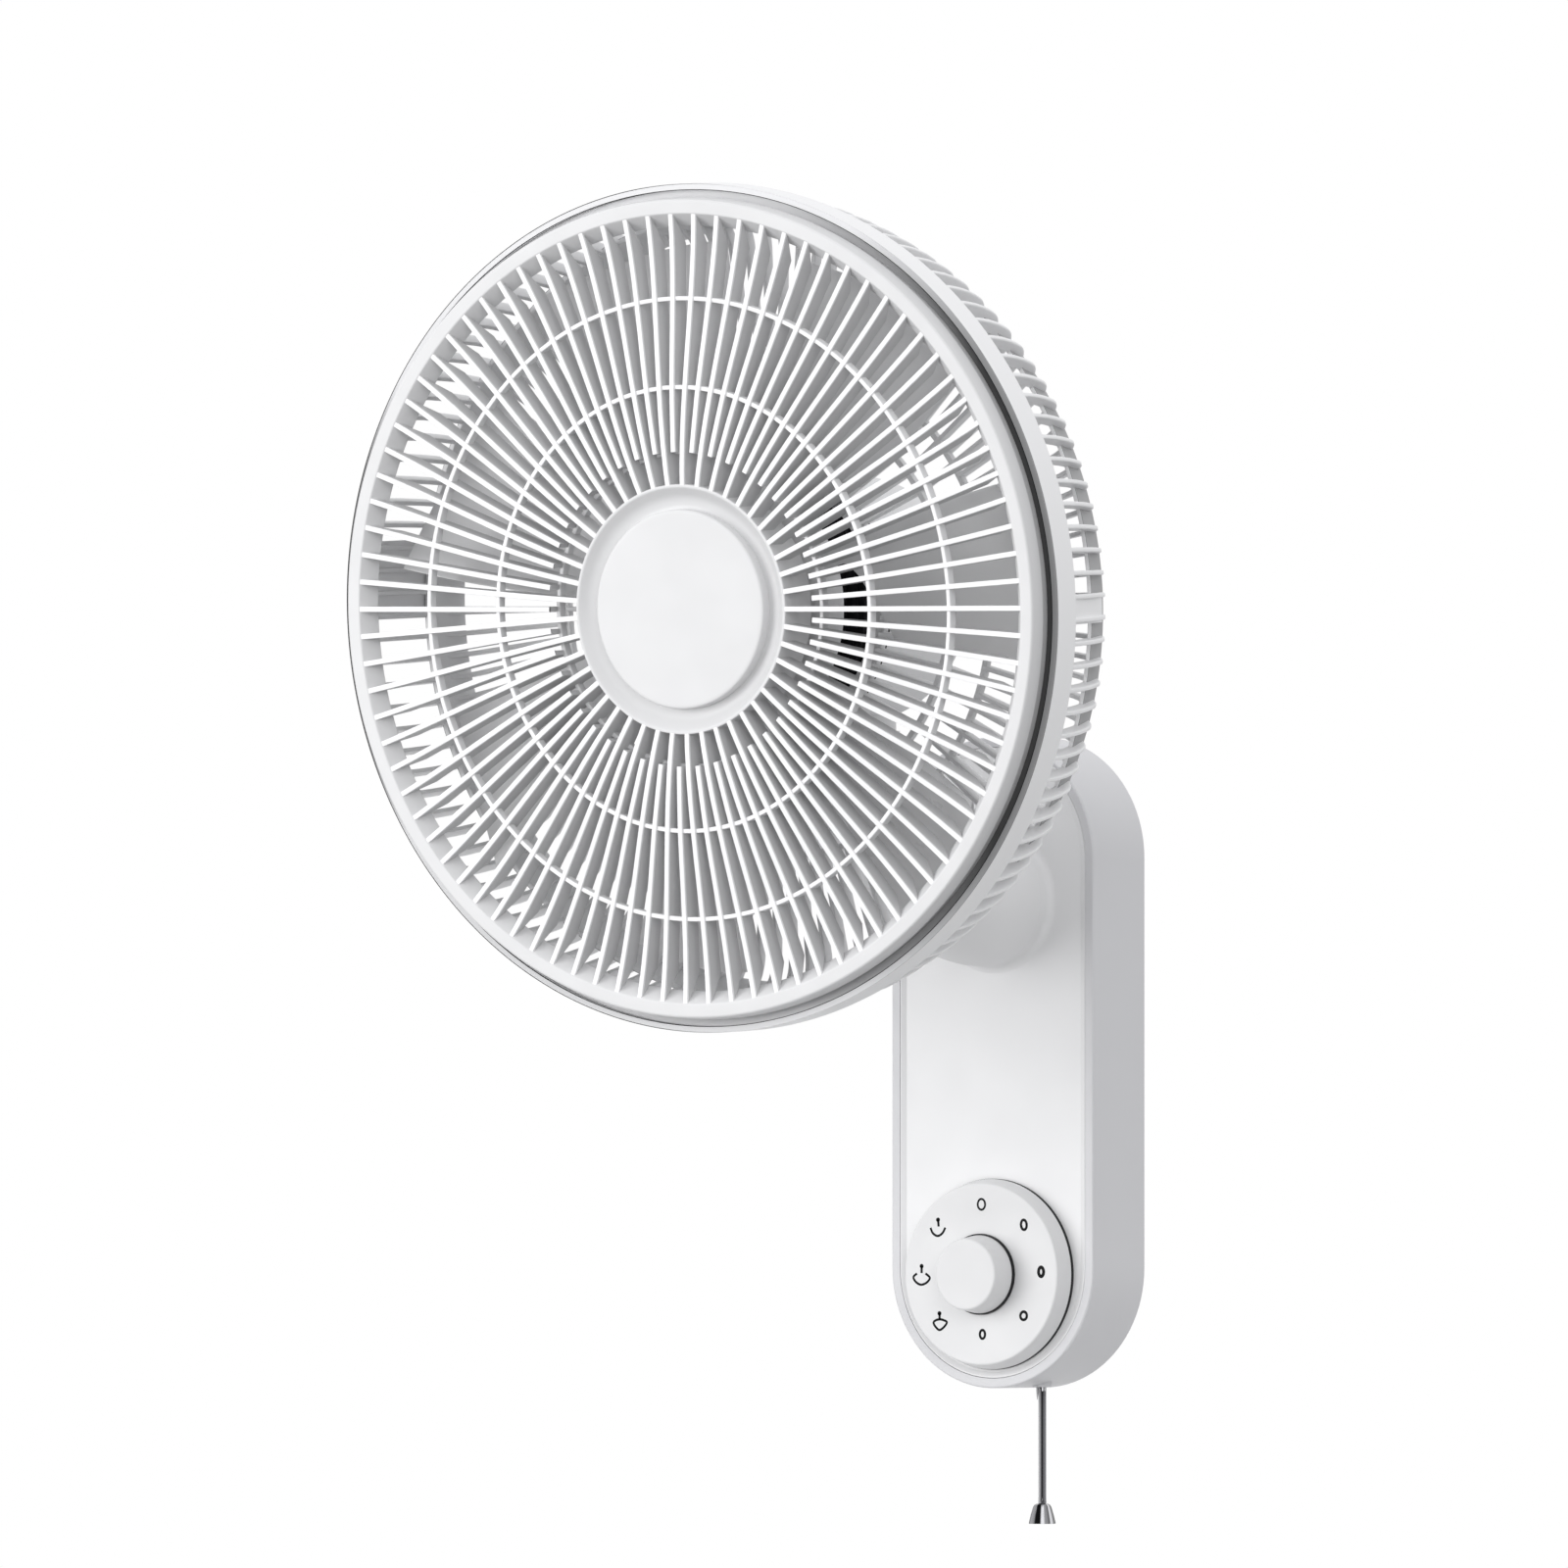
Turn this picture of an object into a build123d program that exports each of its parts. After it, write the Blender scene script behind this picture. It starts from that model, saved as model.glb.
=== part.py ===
"""Wall mounted fan with a 30 cm impeller, a round guard on a tilting, swinging head, and a wall panel.

Frame, in millimetres: X to the right of someone facing the fan, Y into the wall, Z up.
The wall is the plane Y = 0 and the origin is the centre of the wall plate's four screws.
The neck and the head are built level and then tipped by rest_tilt about the tilt bolt.
"""
from build123d import *
from math import acos, cos, pi, radians, sin, sqrt, tan
import os

# ---------------------------------------------------------------- driving dimensions
# wall panel
panel_width = 98.4            # stadium outline, round at both ends
panel_height = 266.4
panel_depth = 38.5            # wall to front face
panel_wall = 2.4
panel_rim = 4.0               # visible rim of the rear housing round the front panel
panel_rim_depth = 4.4         # how deep that thick rim is
panel_lap = 1.6               # ledge that the front panel lies on
panel_back_recess = 2.6       # room for the wall plate behind the housing's back
panel_edge_round = 0.8
screw_post_inset = 16.2       # the four posts, in from the panel's side
screw_post_past = 13.0        # and past the centres of its round ends
screw_post_radius = 4.5

# wall plate
plate_thickness = 2.0
plate_inset = 11.2
plate_shortening = 8.0
wall_screw_spacing_x = 50.0
wall_screw_spacing_z = 140.0
wall_screw_hole_radius = 2.6
screw_access_radius = 6.0
hook_past = 17.0              # hooks, past the centres of the panel's round ends
hook_width = 16.0
hook_thickness = 2.0
hook_rise = 8.0
hook_room = 1.0               # extra length of the slots that the hooks enter through
inlet_drop = 1.0              # cable inlet, below the arm's root
inlet_bore_radius = 3.6
inlet_outer_radius = 6.0
inlet_flange = 3.0
inlet_flange_thickness = 2.0
inlet_length = 4.0            # inside the housing
inlet_room = 4.0              # round the inlet, in the wall plate

# what the panel holds
board_half_x = 30.0
board_half_z = 42.0
board_stand = 3.0
board_thickness = 1.6
board_post_inset = 4.0
board_post_radius = 3.0
board_parts = (               # left, right, bottom, top and height of what stands on the board
    (4.0, 20.0, -34.0, -20.0, 12.0),
    (6.0, 22.0, -12.0, 2.0, 10.0),
    (8.0, 14.0, 10.0, 30.0, 7.0),
)
capacitor_radius = 9.0
capacitor_length = 32.0
capacitor_x = -16.0
capacitor_round = 1.0
terminal_half_width = 15.0
terminal_height = 12.0
terminal_depth = 13.0
terminal_drop = 8.0           # below the board
terminal_count = 4
terminal_pitch = 6.7
terminal_hole_radius = 2.2
terminal_hole_depth = 5.0

# arm, from the panel up to the tilt pivot
arm_root_past = -17.0         # its root, past the centre of the panel's upper round end
arm_root_radius = 27.5
arm_collar = 6.0              # moulded collar on the front panel
arm_collar_blend = 5.0
arm_root_thickness = 8.0
arm_wall = 3.0
arm_wire_bore = 12.0
arm_screw_circle = 19.5
arm_stations = (              # shares of reach and rise, half width and half height over the root, lean
    (0.00, 0.00, 1.00, 1.00, 0),
    (0.32, 0.08, 0.93, 0.89, 6),
    (0.61, 0.36, 0.84, 0.73, 26),
    (0.86, 0.76, 0.80, 0.62, 34),
    (1.00, 1.00, 0.78, 0.56, 34),
)
arm_hollow_end = (0.78, 0.62, 0.80, 0.60, 32)
tilt_y = -142.0
tilt_z = 100.0
rest_tilt = 2.0               # the head at rest, front down, in degrees
tilt_ear_radius = 17.0
tilt_ear_outer = 23.0         # half width over both ears
tilt_slot_half = 12.0         # half width between the ears
tilt_slot_room = 1.6          # between the arm's slot and the neck's round tongue
tilt_bolt_radius = 4.0
tilt_key_radius = 3.0         # the socket in the bolt's head
tilt_key_depth = 2.0
tilt_end_inset = 0.5          # the bolt's ends, inside the ears' faces
washer_thickness = 1.2
washer_inset = 3.0
nut_radius = 7.0
nut_recess = 4.0
nut_thickness = 3.2
tongue_radius = 16.5

# neck and swing drive
swing_y = -143.0
swing_shaft_radius = 5.0
swing_shaft_press = 4.0       # how deep the post goes below the turret's disc
turret_radius = 20.0
turret_top_z = 135.4
turret_thickness = 7.0
column_half_depth = 12.0
swing_gap = 0.5               # between the neck and the head
swing_boss_radius = 18.5
swing_boss_height = 17.0
swing_boss_step = 1.0         # how far the bushing stands out of its boss
bushing_radius = 8.0
bushing_flange = 3.0
bushing_flange_height = 1.5
gear_module = 0.8
gear_teeth = 40
pinion_teeth = 12
gear_pressure = 25.0
gear_backlash = 0.10
gear_thickness = 5.0
gear_room = 2.5               # between the bushing and the fixed gear
clip_width = 2.5
clip_height = 1.2
shaft_reach = 3.0             # the post's top, above the gear
shelf_room = 1.5              # between the gears and the shelf's underside
shelf_thickness = 1.6
shelf_start = 4.5             # from the post's side to the shelf's edge
shelf_hole_radius = 2.2
pinion_shaft_radius = 1.5
pinion_shaft_depth = 6.0      # inside the swing motor
stepper_radius = 12.0
stepper_height = 12.0

# head: depths are counted from the front guard's ring face towards the wall
head_z = 189.53
ring_face_y = -261.75
ring_inner_radius = 160.8
ring_outer_radius = 166.5
ring_throat_radius = 155.6
ring_throat_depth = 6.6
ring_throat_wall = 1.6
ring_wall = 2.0
ring_side_draft = 0.9
ring_side_depth = 7.0
groove_step = 1.4             # the ring's side steps in behind this depth, which shades the groove
groove_gap = 0.4
flange_depth = 11.0
flange_thickness = 2.0
band_outer_radius = 172.8
band_wall = 2.4
band_ledge = 2.0              # the guard's flange rests on this step
band_front_depth = 9.2
band_rear_depth = 23.2
hoop_front = (162.4, 51.0)    # radius and depth
hoop_rear = (156.4, 68.5)
hoop_thickness = 2.2
cage_rim_radius = 171.6       # where the ribs leave the band
cage_rim_curve = 120.0        # the ribs' long bend, between these two leans
cage_rim_lean = 4.0
cage_rim_lean_end = 21.0
cage_back_depth = 71.0
cage_mount_depth = 56.0       # the ribs come forward to the mounting ring
cage_rib_count = 112          # every second one reaches the middle
cage_first_rib = 1.25         # degrees
cage_rib_thickness = 2.0
cage_rib_width = 5.5
cage_ring_radii = (103.0, 83.0)
cage_ring_width = 2.4
cage_ring_depth = 3.2
cage_ring_lap = 0.4
cage_mount_width = 6.0
cage_mount_thickness = 3.0
bar_thickness = 2.4
bar_inset = 0.5               # under the ribs' outer line
bar_rear_depth = 56.0
bar_right_heights = (-7.5, 4.0)
bar_left_heights = (-5.0, 27.0)

spoke_count = 90              # every second one reaches the hub
spoke_thickness = 2.0
spoke_depth = 10.4
spoke_hub_rise = 6.1
spoke_short_drop = 0.3
spoke_root_lap = 1.0
spoke_ring_one_radius = 90.3
spoke_ring_one_rise = 5.0
spoke_ring_two_radius = 126.3
spoke_ring_two_rise = 1.2
spoke_ring_width = 1.8
spoke_ring_depth = 4.0
spoke_end_lap = 0.2           # into the ring
spoke_end_front = 0.15
spoke_end_rear = 1.6
spoke_runout = 7.0            # where the rear edge starts to rise, inside the throat
spoke_runout_rise = 0.4
short_spoke_radius = 64.0
hub_radius = 50.9
hub_lip = 1.3
hub_lip_slope = 5.0
hub_skirt_depth = 13.0
hub_wall = 2.0
cap_radius = 40.6
cap_gap = 1.4                 # round the cap, before the dish starts to rise
cap_rise = 6.9
cap_round = 1.2
dish_depth = 2.0
dish_rise = 0.9

# motor
motor_radius = 50.0
motor_wall = 2.4
motor_front_radius = 53.0
motor_front_depth = 50.0
motor_flange_thickness = 2.8
motor_step_radii = (38.0, 43.0, 48.0)
motor_step_width = 2.0
motor_step_height = 1.2
motor_split_depth = 74.8
motor_rear_y = -120.5
motor_rear_round = 14.0
vent_rows = 7
vent_pitch = 7.0
vent_height = 2.4
vent_half_width = 26.0
mount_ring_gap = 1.0          # between the motor's front case and the cage's mounting ring
shaft_radius = 4.0
shaft_hole_radius = 6.0
running_fit = 0.04
bearing_radius = 11.0
bearing_length = 6.0
bearing_wall = 3.0            # round each bearing
bearing_end_wall = 2.0
bearing_proud = 0.7           # the front bearing's face, before the motor's
bearing_room = 1.2
stator_radius = 42.0
stator_bore = 24.0
stator_length = 24.0
stator_front_depth = 65.0
slot_count = 12
slot_offset = 5.0             # the slots' middle, outside the bore
slot_depth = 8.0
slot_width = 5.0
coil_gap = 0.2                # between a coil and its slot's walls
coil_ring = 8.0
coil_ring_start = 1.0
coil_overhang = 6.0
air_gap = 0.5
motor_screw_circle = 36.0
shield_front_depth = 97.0
shield_thickness = 3.0
shield_gap = 0.2
shield_seat = 1.0             # the rear bearing's seat, in from the shield's front

# impeller
blade_count = 7
blade_first_angle = 4.7
blade_tip_radius = 149.0
blade_overlap = 2.2           # into the hub
blade_trim = 4.0              # the blade is lofted this far past its round tip, then cut
blade_thickness = 2.0
blade_depth = 29.0            # blade centre behind the ring face
blade_root_chord = 38.0
blade_root_pitch = 33.0
blade_mid_chord = 66.0
blade_mid_pitch = 27.0
blade_tip_chord = 84.0
blade_tip_pitch = 21.0
blade_camber = 0.07
spinner_radius = 54.0
spinner_front_depth = 20.0
spinner_rear_depth = 43.3
spinner_wall = 2.4
spinner_face_inset = 14.0     # the spinner's flat face, in from its side
spinner_slope_inset = 4.0
spinner_slope_depth = 4.0
spinner_side_depth = 11.0
spinner_dome = 1.2
spinner_boss_radius = 10.0
cap_nut_radius = 9.5
cap_nut_reach = 5.0           # before the spinner's face
cap_nut_wall = 2.0
cap_nut_bevel = 2.0

# dial, knob and switch
dial_past = 2.5               # past the centre of the panel's lower round end
dial_front_radius = 37.2
dial_base_radius = 39.0
dial_height = 8.5
dial_gap = 0.6
dial_wall = 2.5
dial_neck_inset = 4.0
dial_neck_wall = 3.0
dial_edge = 0.8
dial_hole_room = 0.5          # round the switch's bushing
knob_front_radius = 14.6
knob_base_radius = 16.0
knob_height = 12.0
knob_edge = 1.0
knob_gap = 0.5
knob_wall = 2.2
knob_hub_wall = 2.4
knob_spindle_room = 1.0
spindle_radius = 3.0
switch_bushing_radius = 5.0
switch_bushing_reach = 1.0    # the bushing's end, behind the dial's face
switch_size = 26.0
switch_depth = 15.0
spindle_end = 3.0             # from the switch's back
switch_nut_radius = 8.0
switch_nut_thickness = 2.4

# pull switch, cord and bell
pull_x = 11.7
pull_y = -19.0
pull_travel = 8.0
pull_rod_radius = 1.5
pull_switch_gap = 1.5         # below the rotary switch
pull_switch_half = 8.5
pull_switch_roof = 3.0
pull_bracket_half = 6.0
pull_bracket_inset = 3.0
plunger_head_radius = 3.6
plunger_head_height = 3.0
plunger_room = 0.6
spring_solid_length = 3.0
spring_seat = 2.0
spring_gap = 0.4
cord_bush_radius = 4.0
cord_bush_flange = 1.5
cord_bush_thickness = 1.7
pull_tip_reach = 1.2          # below the panel's lowest point
cord_radius = 1.6
cord_length = 46.0
bell_height = 8.4
bell_top_radius = 3.1
bell_bottom_radius = 5.6
bell_bevel = 0.6
bell_foot = 0.8

# small fasteners and clearances
screw_radius = 1.5
screw_head_radius = 3.0
screw_head_height = 2.2
screw_tip_gap = 1.0           # from a screw's tip to the end of its hole's wall
screw_fit = 0.1               # radial clearance of a screw or bolt in its hole
loose_gap = 0.3               # ordinary clearance between pieces that must not touch
past = 1.0                    # how far a cut runs past the face that it opens

# ---------------------------------------------------------------- values worked out
panel_radius = panel_width / 2
panel_spacing = panel_height - panel_width
panel_end = panel_spacing / 2                        # centres of the round ends, from the middle
panel_front_y = -panel_depth
panel_bottom_z = -panel_height / 2
plate_front_y = panel_front_y + panel_wall           # rear face of the front panel
rim_back_y = panel_front_y + panel_rim_depth
back_wall_y = -panel_back_recess                     # housing's back, wall side
back_inner_y = back_wall_y - panel_wall
screw_post_x = panel_radius - screw_post_inset
screw_post_z = panel_end + screw_post_past
plate_radius = panel_radius - plate_inset
plate_spacing = panel_spacing - 2 * plate_shortening
hook_z = panel_end + hook_past
board_back_y = back_inner_y - board_stand
board_front_y = board_back_y - board_thickness
terminal_top_z = -board_half_z - terminal_drop
arm_root_z = panel_end + arm_root_past
arm_face_y = panel_front_y - arm_collar
arm_screw_offset = arm_screw_circle / sqrt(2)
inlet_z = arm_root_z - inlet_drop
tongue_half = tilt_slot_half - washer_thickness - loose_gap
turret_bottom_z = turret_top_z - turret_thickness
head_bottom_z = turret_top_z + swing_gap
boss_top_z = head_bottom_z + swing_boss_height
gear_bottom_z = boss_top_z + gear_room
gear_top_z = gear_bottom_z + gear_thickness
gear_radius = gear_module * gear_teeth / 2
pinion_radius = gear_module * pinion_teeth / 2
pinion_x = gear_radius + pinion_radius + gear_backlash
shelf_bottom_z = gear_top_z + shelf_room
shelf_top_z = shelf_bottom_z + shelf_thickness
cage_mount_inner_radius = motor_front_radius + mount_ring_gap
cage_mount_outer_radius = cage_mount_inner_radius + cage_mount_width
cage_bend_radius = cage_rim_radius - cage_rim_curve * cos(radians(cage_rim_lean))
cage_bend_depth = band_rear_depth - cage_rim_curve * sin(radians(cage_rim_lean))
cage_turn_radius = cage_bend_radius + cage_rim_curve * cos(radians(cage_rim_lean_end))
cage_turn_depth = cage_bend_depth + cage_rim_curve * sin(radians(cage_rim_lean_end))
cage_corner = (cage_back_depth - cage_turn_depth) / (1 - sin(radians(cage_rim_lean_end)))
cage_corner_radius = cage_turn_radius - cage_corner * cos(radians(cage_rim_lean_end))
guard_screw_offset = (cage_mount_inner_radius + cage_mount_outer_radius) / 2 / sqrt(2)
motor_screw_offset = motor_screw_circle / sqrt(2)
dial_z = -(panel_end + dial_past)
dial_front_y = panel_front_y - dial_height
dial_neck_radius = dial_base_radius - dial_neck_inset
knob_front_y = dial_front_y - knob_height
switch_front_y = plate_front_y
switch_back_y = switch_front_y + switch_depth
pull_switch_top_z = dial_z - switch_size / 2 - pull_switch_gap
plunger_head_top_z = pull_switch_top_z - pull_switch_roof
spring_top_z = plunger_head_top_z - plunger_head_height
spring_bottom_z = spring_top_z - pull_travel - spring_solid_length
pull_switch_bottom_z = spring_bottom_z - spring_seat
cord_top_z = panel_bottom_z - pull_tip_reach
cord_bottom_z = cord_top_z - cord_length
bell_bottom_z = cord_bottom_z - bell_height


def at_depth(depth):
    """Y of a plane behind the front guard's ring face."""
    return ring_face_y + depth


def rim_point(lean, inset=0.0):
    """A point of the ribs' long bend, behind the band; the lean is in degrees."""
    reach = cage_rim_curve - inset
    return (cage_bend_radius + reach * cos(radians(lean)),
            at_depth(cage_bend_depth + reach * sin(radians(lean))))


def corner_point(lean, inset=0.0):
    """A point of the cage's round corner; 90 degrees is where the back starts."""
    reach = cage_corner - inset
    return (cage_corner_radius + reach * cos(radians(lean)),
            at_depth(cage_back_depth - cage_corner + reach * sin(radians(lean))))


def rim_radius(depth, inset=0.0):
    """The long bend's radius at a depth."""
    return cage_bend_radius + sqrt((cage_rim_curve - inset) ** 2 - (depth - cage_bend_depth) ** 2)


# ---------------------------------------------------------------- small helpers
def turned_y(points, z=0.0):
    """A solid turned about a line along Y; the points are (radius, y)."""
    face = make_face(Polyline(*points, close=True))
    return Pos(0, 0, z) * revolve(face, Axis.Y)


def turned_z(points, x=0.0, y=0.0):
    """A solid turned about a vertical line; the points are (radius, z)."""
    face = make_face(Plane.XZ * Polyline(*points, close=True))
    return Pos(x, y, 0) * revolve(face, Axis.Z)


def tube_y(inner, outer, y0, y1):
    """A ring with a rectangular section about the Y axis."""
    return turned_y([(inner, y0), (outer, y0), (outer, y1), (inner, y1)])


def rod_x(radius, x0, x1, y, z):
    return Pos((x0 + x1) / 2, y, z) * Rot(Y=90) * Cylinder(radius, abs(x1 - x0))


def rod_y(radius, y0, y1, x, z):
    return Pos(x, (y0 + y1) / 2, z) * Rot(X=90) * Cylinder(radius, abs(y1 - y0))


def rod_z(radius, z0, z1, x, y):
    return Pos(x, y, (z0 + z1) / 2) * Cylinder(radius, abs(z1 - z0))


def block(x0, x1, y0, y1, z0, z1):
    middle = Pos((x0 + x1) / 2, (y0 + y1) / 2, (z0 + z1) / 2)
    return middle * Box(abs(x1 - x0), abs(y1 - y0), abs(z1 - z0))


def stadium(radius, spacing, y_back, y_front):
    """An upright block with round ends, from one depth to another."""
    outline = Plane.XZ.offset(-y_back) * SlotCenterToCenter(spacing, 2 * radius, rotation=90)
    return extrude(outline, amount=y_back - y_front)


def four(x, z):
    return [(sx * x, sz * z) for sx in (-1, 1) for sz in (-1, 1)]


def on_head(shape):
    return Pos(0, 0, head_z) * shape


def radial_plate(outline, thickness, angle):
    """A flat plate in a plane through the Y axis; the angle is counter-clockwise from 3 o'clock."""
    return Rot(Y=-angle) * extrude(make_face(outline), amount=thickness / 2, both=True)


def screws_y(places, y_head, y_tip):
    """Screws along Y, one solid each, whose heads lie outside y_head."""
    outward = 1 if y_head > y_tip else -1
    solids = []
    for x, z in places:
        head = rod_y(screw_head_radius, y_head, y_head + outward * screw_head_height, x, z)
        solids.append((head + rod_y(screw_radius, y_head, y_tip, x, z)).solid())
    return Compound(children=solids)


# ---------------------------------------------------------------- wall panel
def make_wall_plate():
    cut_front = -plate_thickness - past
    plate = stadium(plate_radius, plate_spacing, 0, -plate_thickness)
    for x, z in four(wall_screw_spacing_x / 2, wall_screw_spacing_z / 2):
        plate -= rod_y(wall_screw_hole_radius, past, cut_front, x, z)
    plate -= rod_y(inlet_outer_radius + inlet_room, past, cut_front, 0, inlet_z)
    lip_back = back_inner_y - loose_gap
    lip_front = lip_back - hook_thickness
    half = hook_width / 2
    for z in (hook_z, -hook_z):
        plate += block(-half, half, -plate_thickness / 2, lip_front, z - hook_thickness, z)
        plate += block(-half, half, lip_back, lip_front, z - hook_thickness, z + hook_rise)
    return plate


def make_rear_housing():
    open_front = panel_front_y - past
    cut_back = back_wall_y + past
    cut_front = back_inner_y - past
    inner = panel_radius - panel_wall
    shell = stadium(panel_radius, panel_spacing, 0, panel_front_y)
    shell = fillet(shell.faces().sort_by(Axis.Y)[0].edges(), panel_edge_round)
    shell -= stadium(panel_radius - panel_rim, panel_spacing, plate_front_y, open_front)
    shell -= stadium(panel_radius - panel_rim - panel_lap, panel_spacing, rim_back_y, open_front)
    shell -= stadium(inner, panel_spacing, back_inner_y, rim_back_y)
    shell -= stadium(inner, panel_spacing, past, back_wall_y)
    for x, z in four(screw_post_x, screw_post_z):
        shell += rod_y(screw_post_radius, back_inner_y, rim_back_y, x, z)
        shell -= rod_y(screw_radius + screw_fit, cut_back, rim_back_y - past, x, z)
        shell -= rod_y(screw_head_radius + 2 * screw_fit, cut_back, back_inner_y, x, z)
    for x, z in four(wall_screw_spacing_x / 2, wall_screw_spacing_z / 2):
        shell -= rod_y(screw_access_radius, cut_back, cut_front, x, z)
    slot_half = hook_width / 2 + loose_gap
    slot_drop = hook_rise + hook_thickness + hook_room
    for z in (hook_z, -hook_z):
        shell -= block(-slot_half, slot_half, cut_back, cut_front, z - slot_drop, z)
    shell -= rod_y(inlet_outer_radius, cut_back, cut_front, 0, inlet_z)
    for x, z in four(board_half_x - board_post_inset, board_half_z - board_post_inset):
        shell += rod_y(board_post_radius, back_inner_y, board_back_y, x, z)
    shell += block(pull_x - pull_bracket_half, pull_x + pull_bracket_half, back_inner_y,
                   pull_y + pull_switch_half, pull_switch_bottom_z + pull_bracket_inset,
                   pull_switch_top_z - pull_bracket_inset)
    shell -= rod_z(cord_bush_radius, panel_bottom_z - past, pull_switch_bottom_z - past, pull_x, pull_y)
    return shell


def make_control_board():
    board = block(-board_half_x, board_half_x, board_back_y, board_front_y, -board_half_z, board_half_z)
    for left, right, bottom, top, height in board_parts:
        board += block(left, right, board_front_y, board_front_y - height, bottom, top)
    return board


def make_capacitor():
    """The motor's run capacitor, lying on the board."""
    half = capacitor_length / 2
    can = rod_z(capacitor_radius, -half, half, capacitor_x, board_front_y - capacitor_radius)
    return fillet(can.edges(), capacitor_round)


def make_terminal_block():
    front = back_inner_y - terminal_depth
    body = block(-terminal_half_width, terminal_half_width, back_inner_y, front,
                 terminal_top_z - terminal_height, terminal_top_z)
    for k in range(terminal_count):
        x = (k - (terminal_count - 1) / 2) * terminal_pitch
        body -= rod_y(terminal_hole_radius, front + terminal_hole_depth, front - past, x,
                      terminal_top_z - terminal_height / 2)
    return body


def make_cable_inlet():
    """A rubber bush in the housing's back, where the supply enters from the wall."""
    flange = inlet_outer_radius + inlet_flange
    flange_front = back_inner_y - inlet_flange_thickness
    front = back_inner_y - inlet_length
    return turned_y([(inlet_bore_radius, back_wall_y), (inlet_outer_radius, back_wall_y),
                     (inlet_outer_radius, back_inner_y), (flange, back_inner_y), (flange, flange_front),
                     (inlet_outer_radius, front), (inlet_bore_radius, front)], z=inlet_z)


def make_front_panel():
    cut_back = plate_front_y + past
    cut_front = arm_face_y - past
    plate = stadium(panel_radius - panel_rim - loose_gap / 2, panel_spacing, plate_front_y, panel_front_y)
    plate += rod_y(arm_root_radius, panel_front_y + past, arm_face_y, 0, arm_root_z)
    seam = [e for e in plate.edges().filter_by(GeomType.CIRCLE)
            if abs(e.radius - arm_root_radius) < 0.01 and abs(e.center().Y - panel_front_y) < 0.01]
    plate = fillet(seam, arm_collar_blend)
    plate -= rod_y(arm_wire_bore, cut_back, cut_front, 0, arm_root_z)
    for x, z in four(arm_screw_offset, arm_screw_offset):
        plate -= rod_y(screw_radius + screw_fit, cut_back, cut_front, x, arm_root_z + z)
    plate -= rod_y(switch_bushing_radius + screw_fit, cut_back, panel_front_y - past, 0, dial_z)
    for x, z in four(screw_post_x, screw_post_z):
        plate += rod_y(screw_post_radius, plate_front_y, rim_back_y, x, z)
        plate -= rod_y(screw_radius, plate_front_y - screw_tip_gap, rim_back_y + past, x, z)
    return plate


def make_panel_screws():
    tip_y = plate_front_y - screw_tip_gap + 2 * screw_fit
    return screws_y(four(screw_post_x, screw_post_z), back_inner_y, tip_y)


# ---------------------------------------------------------------- arm and tilt pivot
def arm_section(along, up, wide, high, lean, inset=0.0):
    """An ellipse across the arm; lean is how far its axis points up from straight forward."""
    y = arm_face_y - along * (arm_face_y - tilt_y)
    z = arm_root_z + up * (tilt_z - arm_root_z)
    forward = (0, -cos(radians(lean)), sin(radians(lean)))
    plane = Plane(origin=(0, y, z), x_dir=(1, 0, 0), z_dir=forward)
    return plane * Ellipse(wide * arm_root_radius - inset, high * arm_root_radius - inset)


def make_arm():
    cavity_start = arm_root_thickness / (arm_face_y - tilt_y)
    hollow = [(cavity_start, 0.01, 1.0, 1.0, 1), *arm_stations[1:3], arm_hollow_end]
    screw_end = arm_face_y - arm_root_thickness + screw_tip_gap
    body = loft([arm_section(*station) for station in arm_stations])
    body += rod_x(tilt_ear_radius, -tilt_ear_outer, tilt_ear_outer, tilt_y, tilt_z)
    body -= rod_x(tongue_radius + tilt_slot_room, -tilt_slot_half, tilt_slot_half, tilt_y, tilt_z)
    body -= loft([arm_section(*station, inset=arm_wall) for station in hollow])
    body -= rod_x(tilt_bolt_radius + screw_fit, -tilt_ear_outer - past, tilt_ear_outer + past, tilt_y, tilt_z)
    for side in (-1, 1):
        body -= rod_x(nut_radius + loose_gap, side * (tilt_ear_outer - nut_recess),
                      side * (tilt_ear_outer + past), tilt_y, tilt_z)
    body -= rod_y(arm_wire_bore, arm_face_y + past, arm_face_y - arm_root_thickness - 2 * past, 0, arm_root_z)
    for x, z in four(arm_screw_offset, arm_screw_offset):
        body -= rod_y(screw_radius, arm_face_y + past, screw_end, x, arm_root_z + z)
    return body


def make_arm_screws():
    places = [(x, arm_root_z + z) for x, z in four(arm_screw_offset, arm_screw_offset)]
    return screws_y(places, plate_front_y, arm_face_y - arm_root_thickness + screw_tip_gap)


def make_tilt_bolt():
    """The bolt across both ears, with its round head in the right ear."""
    shoulder = tilt_ear_outer - nut_recess
    end = tilt_ear_outer - tilt_end_inset
    head = rod_x(nut_radius, shoulder, end, tilt_y, tilt_z)
    head -= rod_x(tilt_key_radius, end - tilt_key_depth, end + past, tilt_y, tilt_z)
    return head + rod_x(tilt_bolt_radius, -end, shoulder, tilt_y, tilt_z)


def make_tilt_nut():
    seat = tilt_ear_outer - nut_recess
    side = Plane(origin=(-seat, tilt_y, tilt_z), x_dir=(0, 1, 0), z_dir=(-1, 0, 0))
    nut = extrude(side * RegularPolygon(nut_radius - loose_gap, 6), amount=nut_thickness)
    return nut - rod_x(tilt_bolt_radius, -tilt_ear_outer - past, 0, tilt_y, tilt_z)


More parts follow.
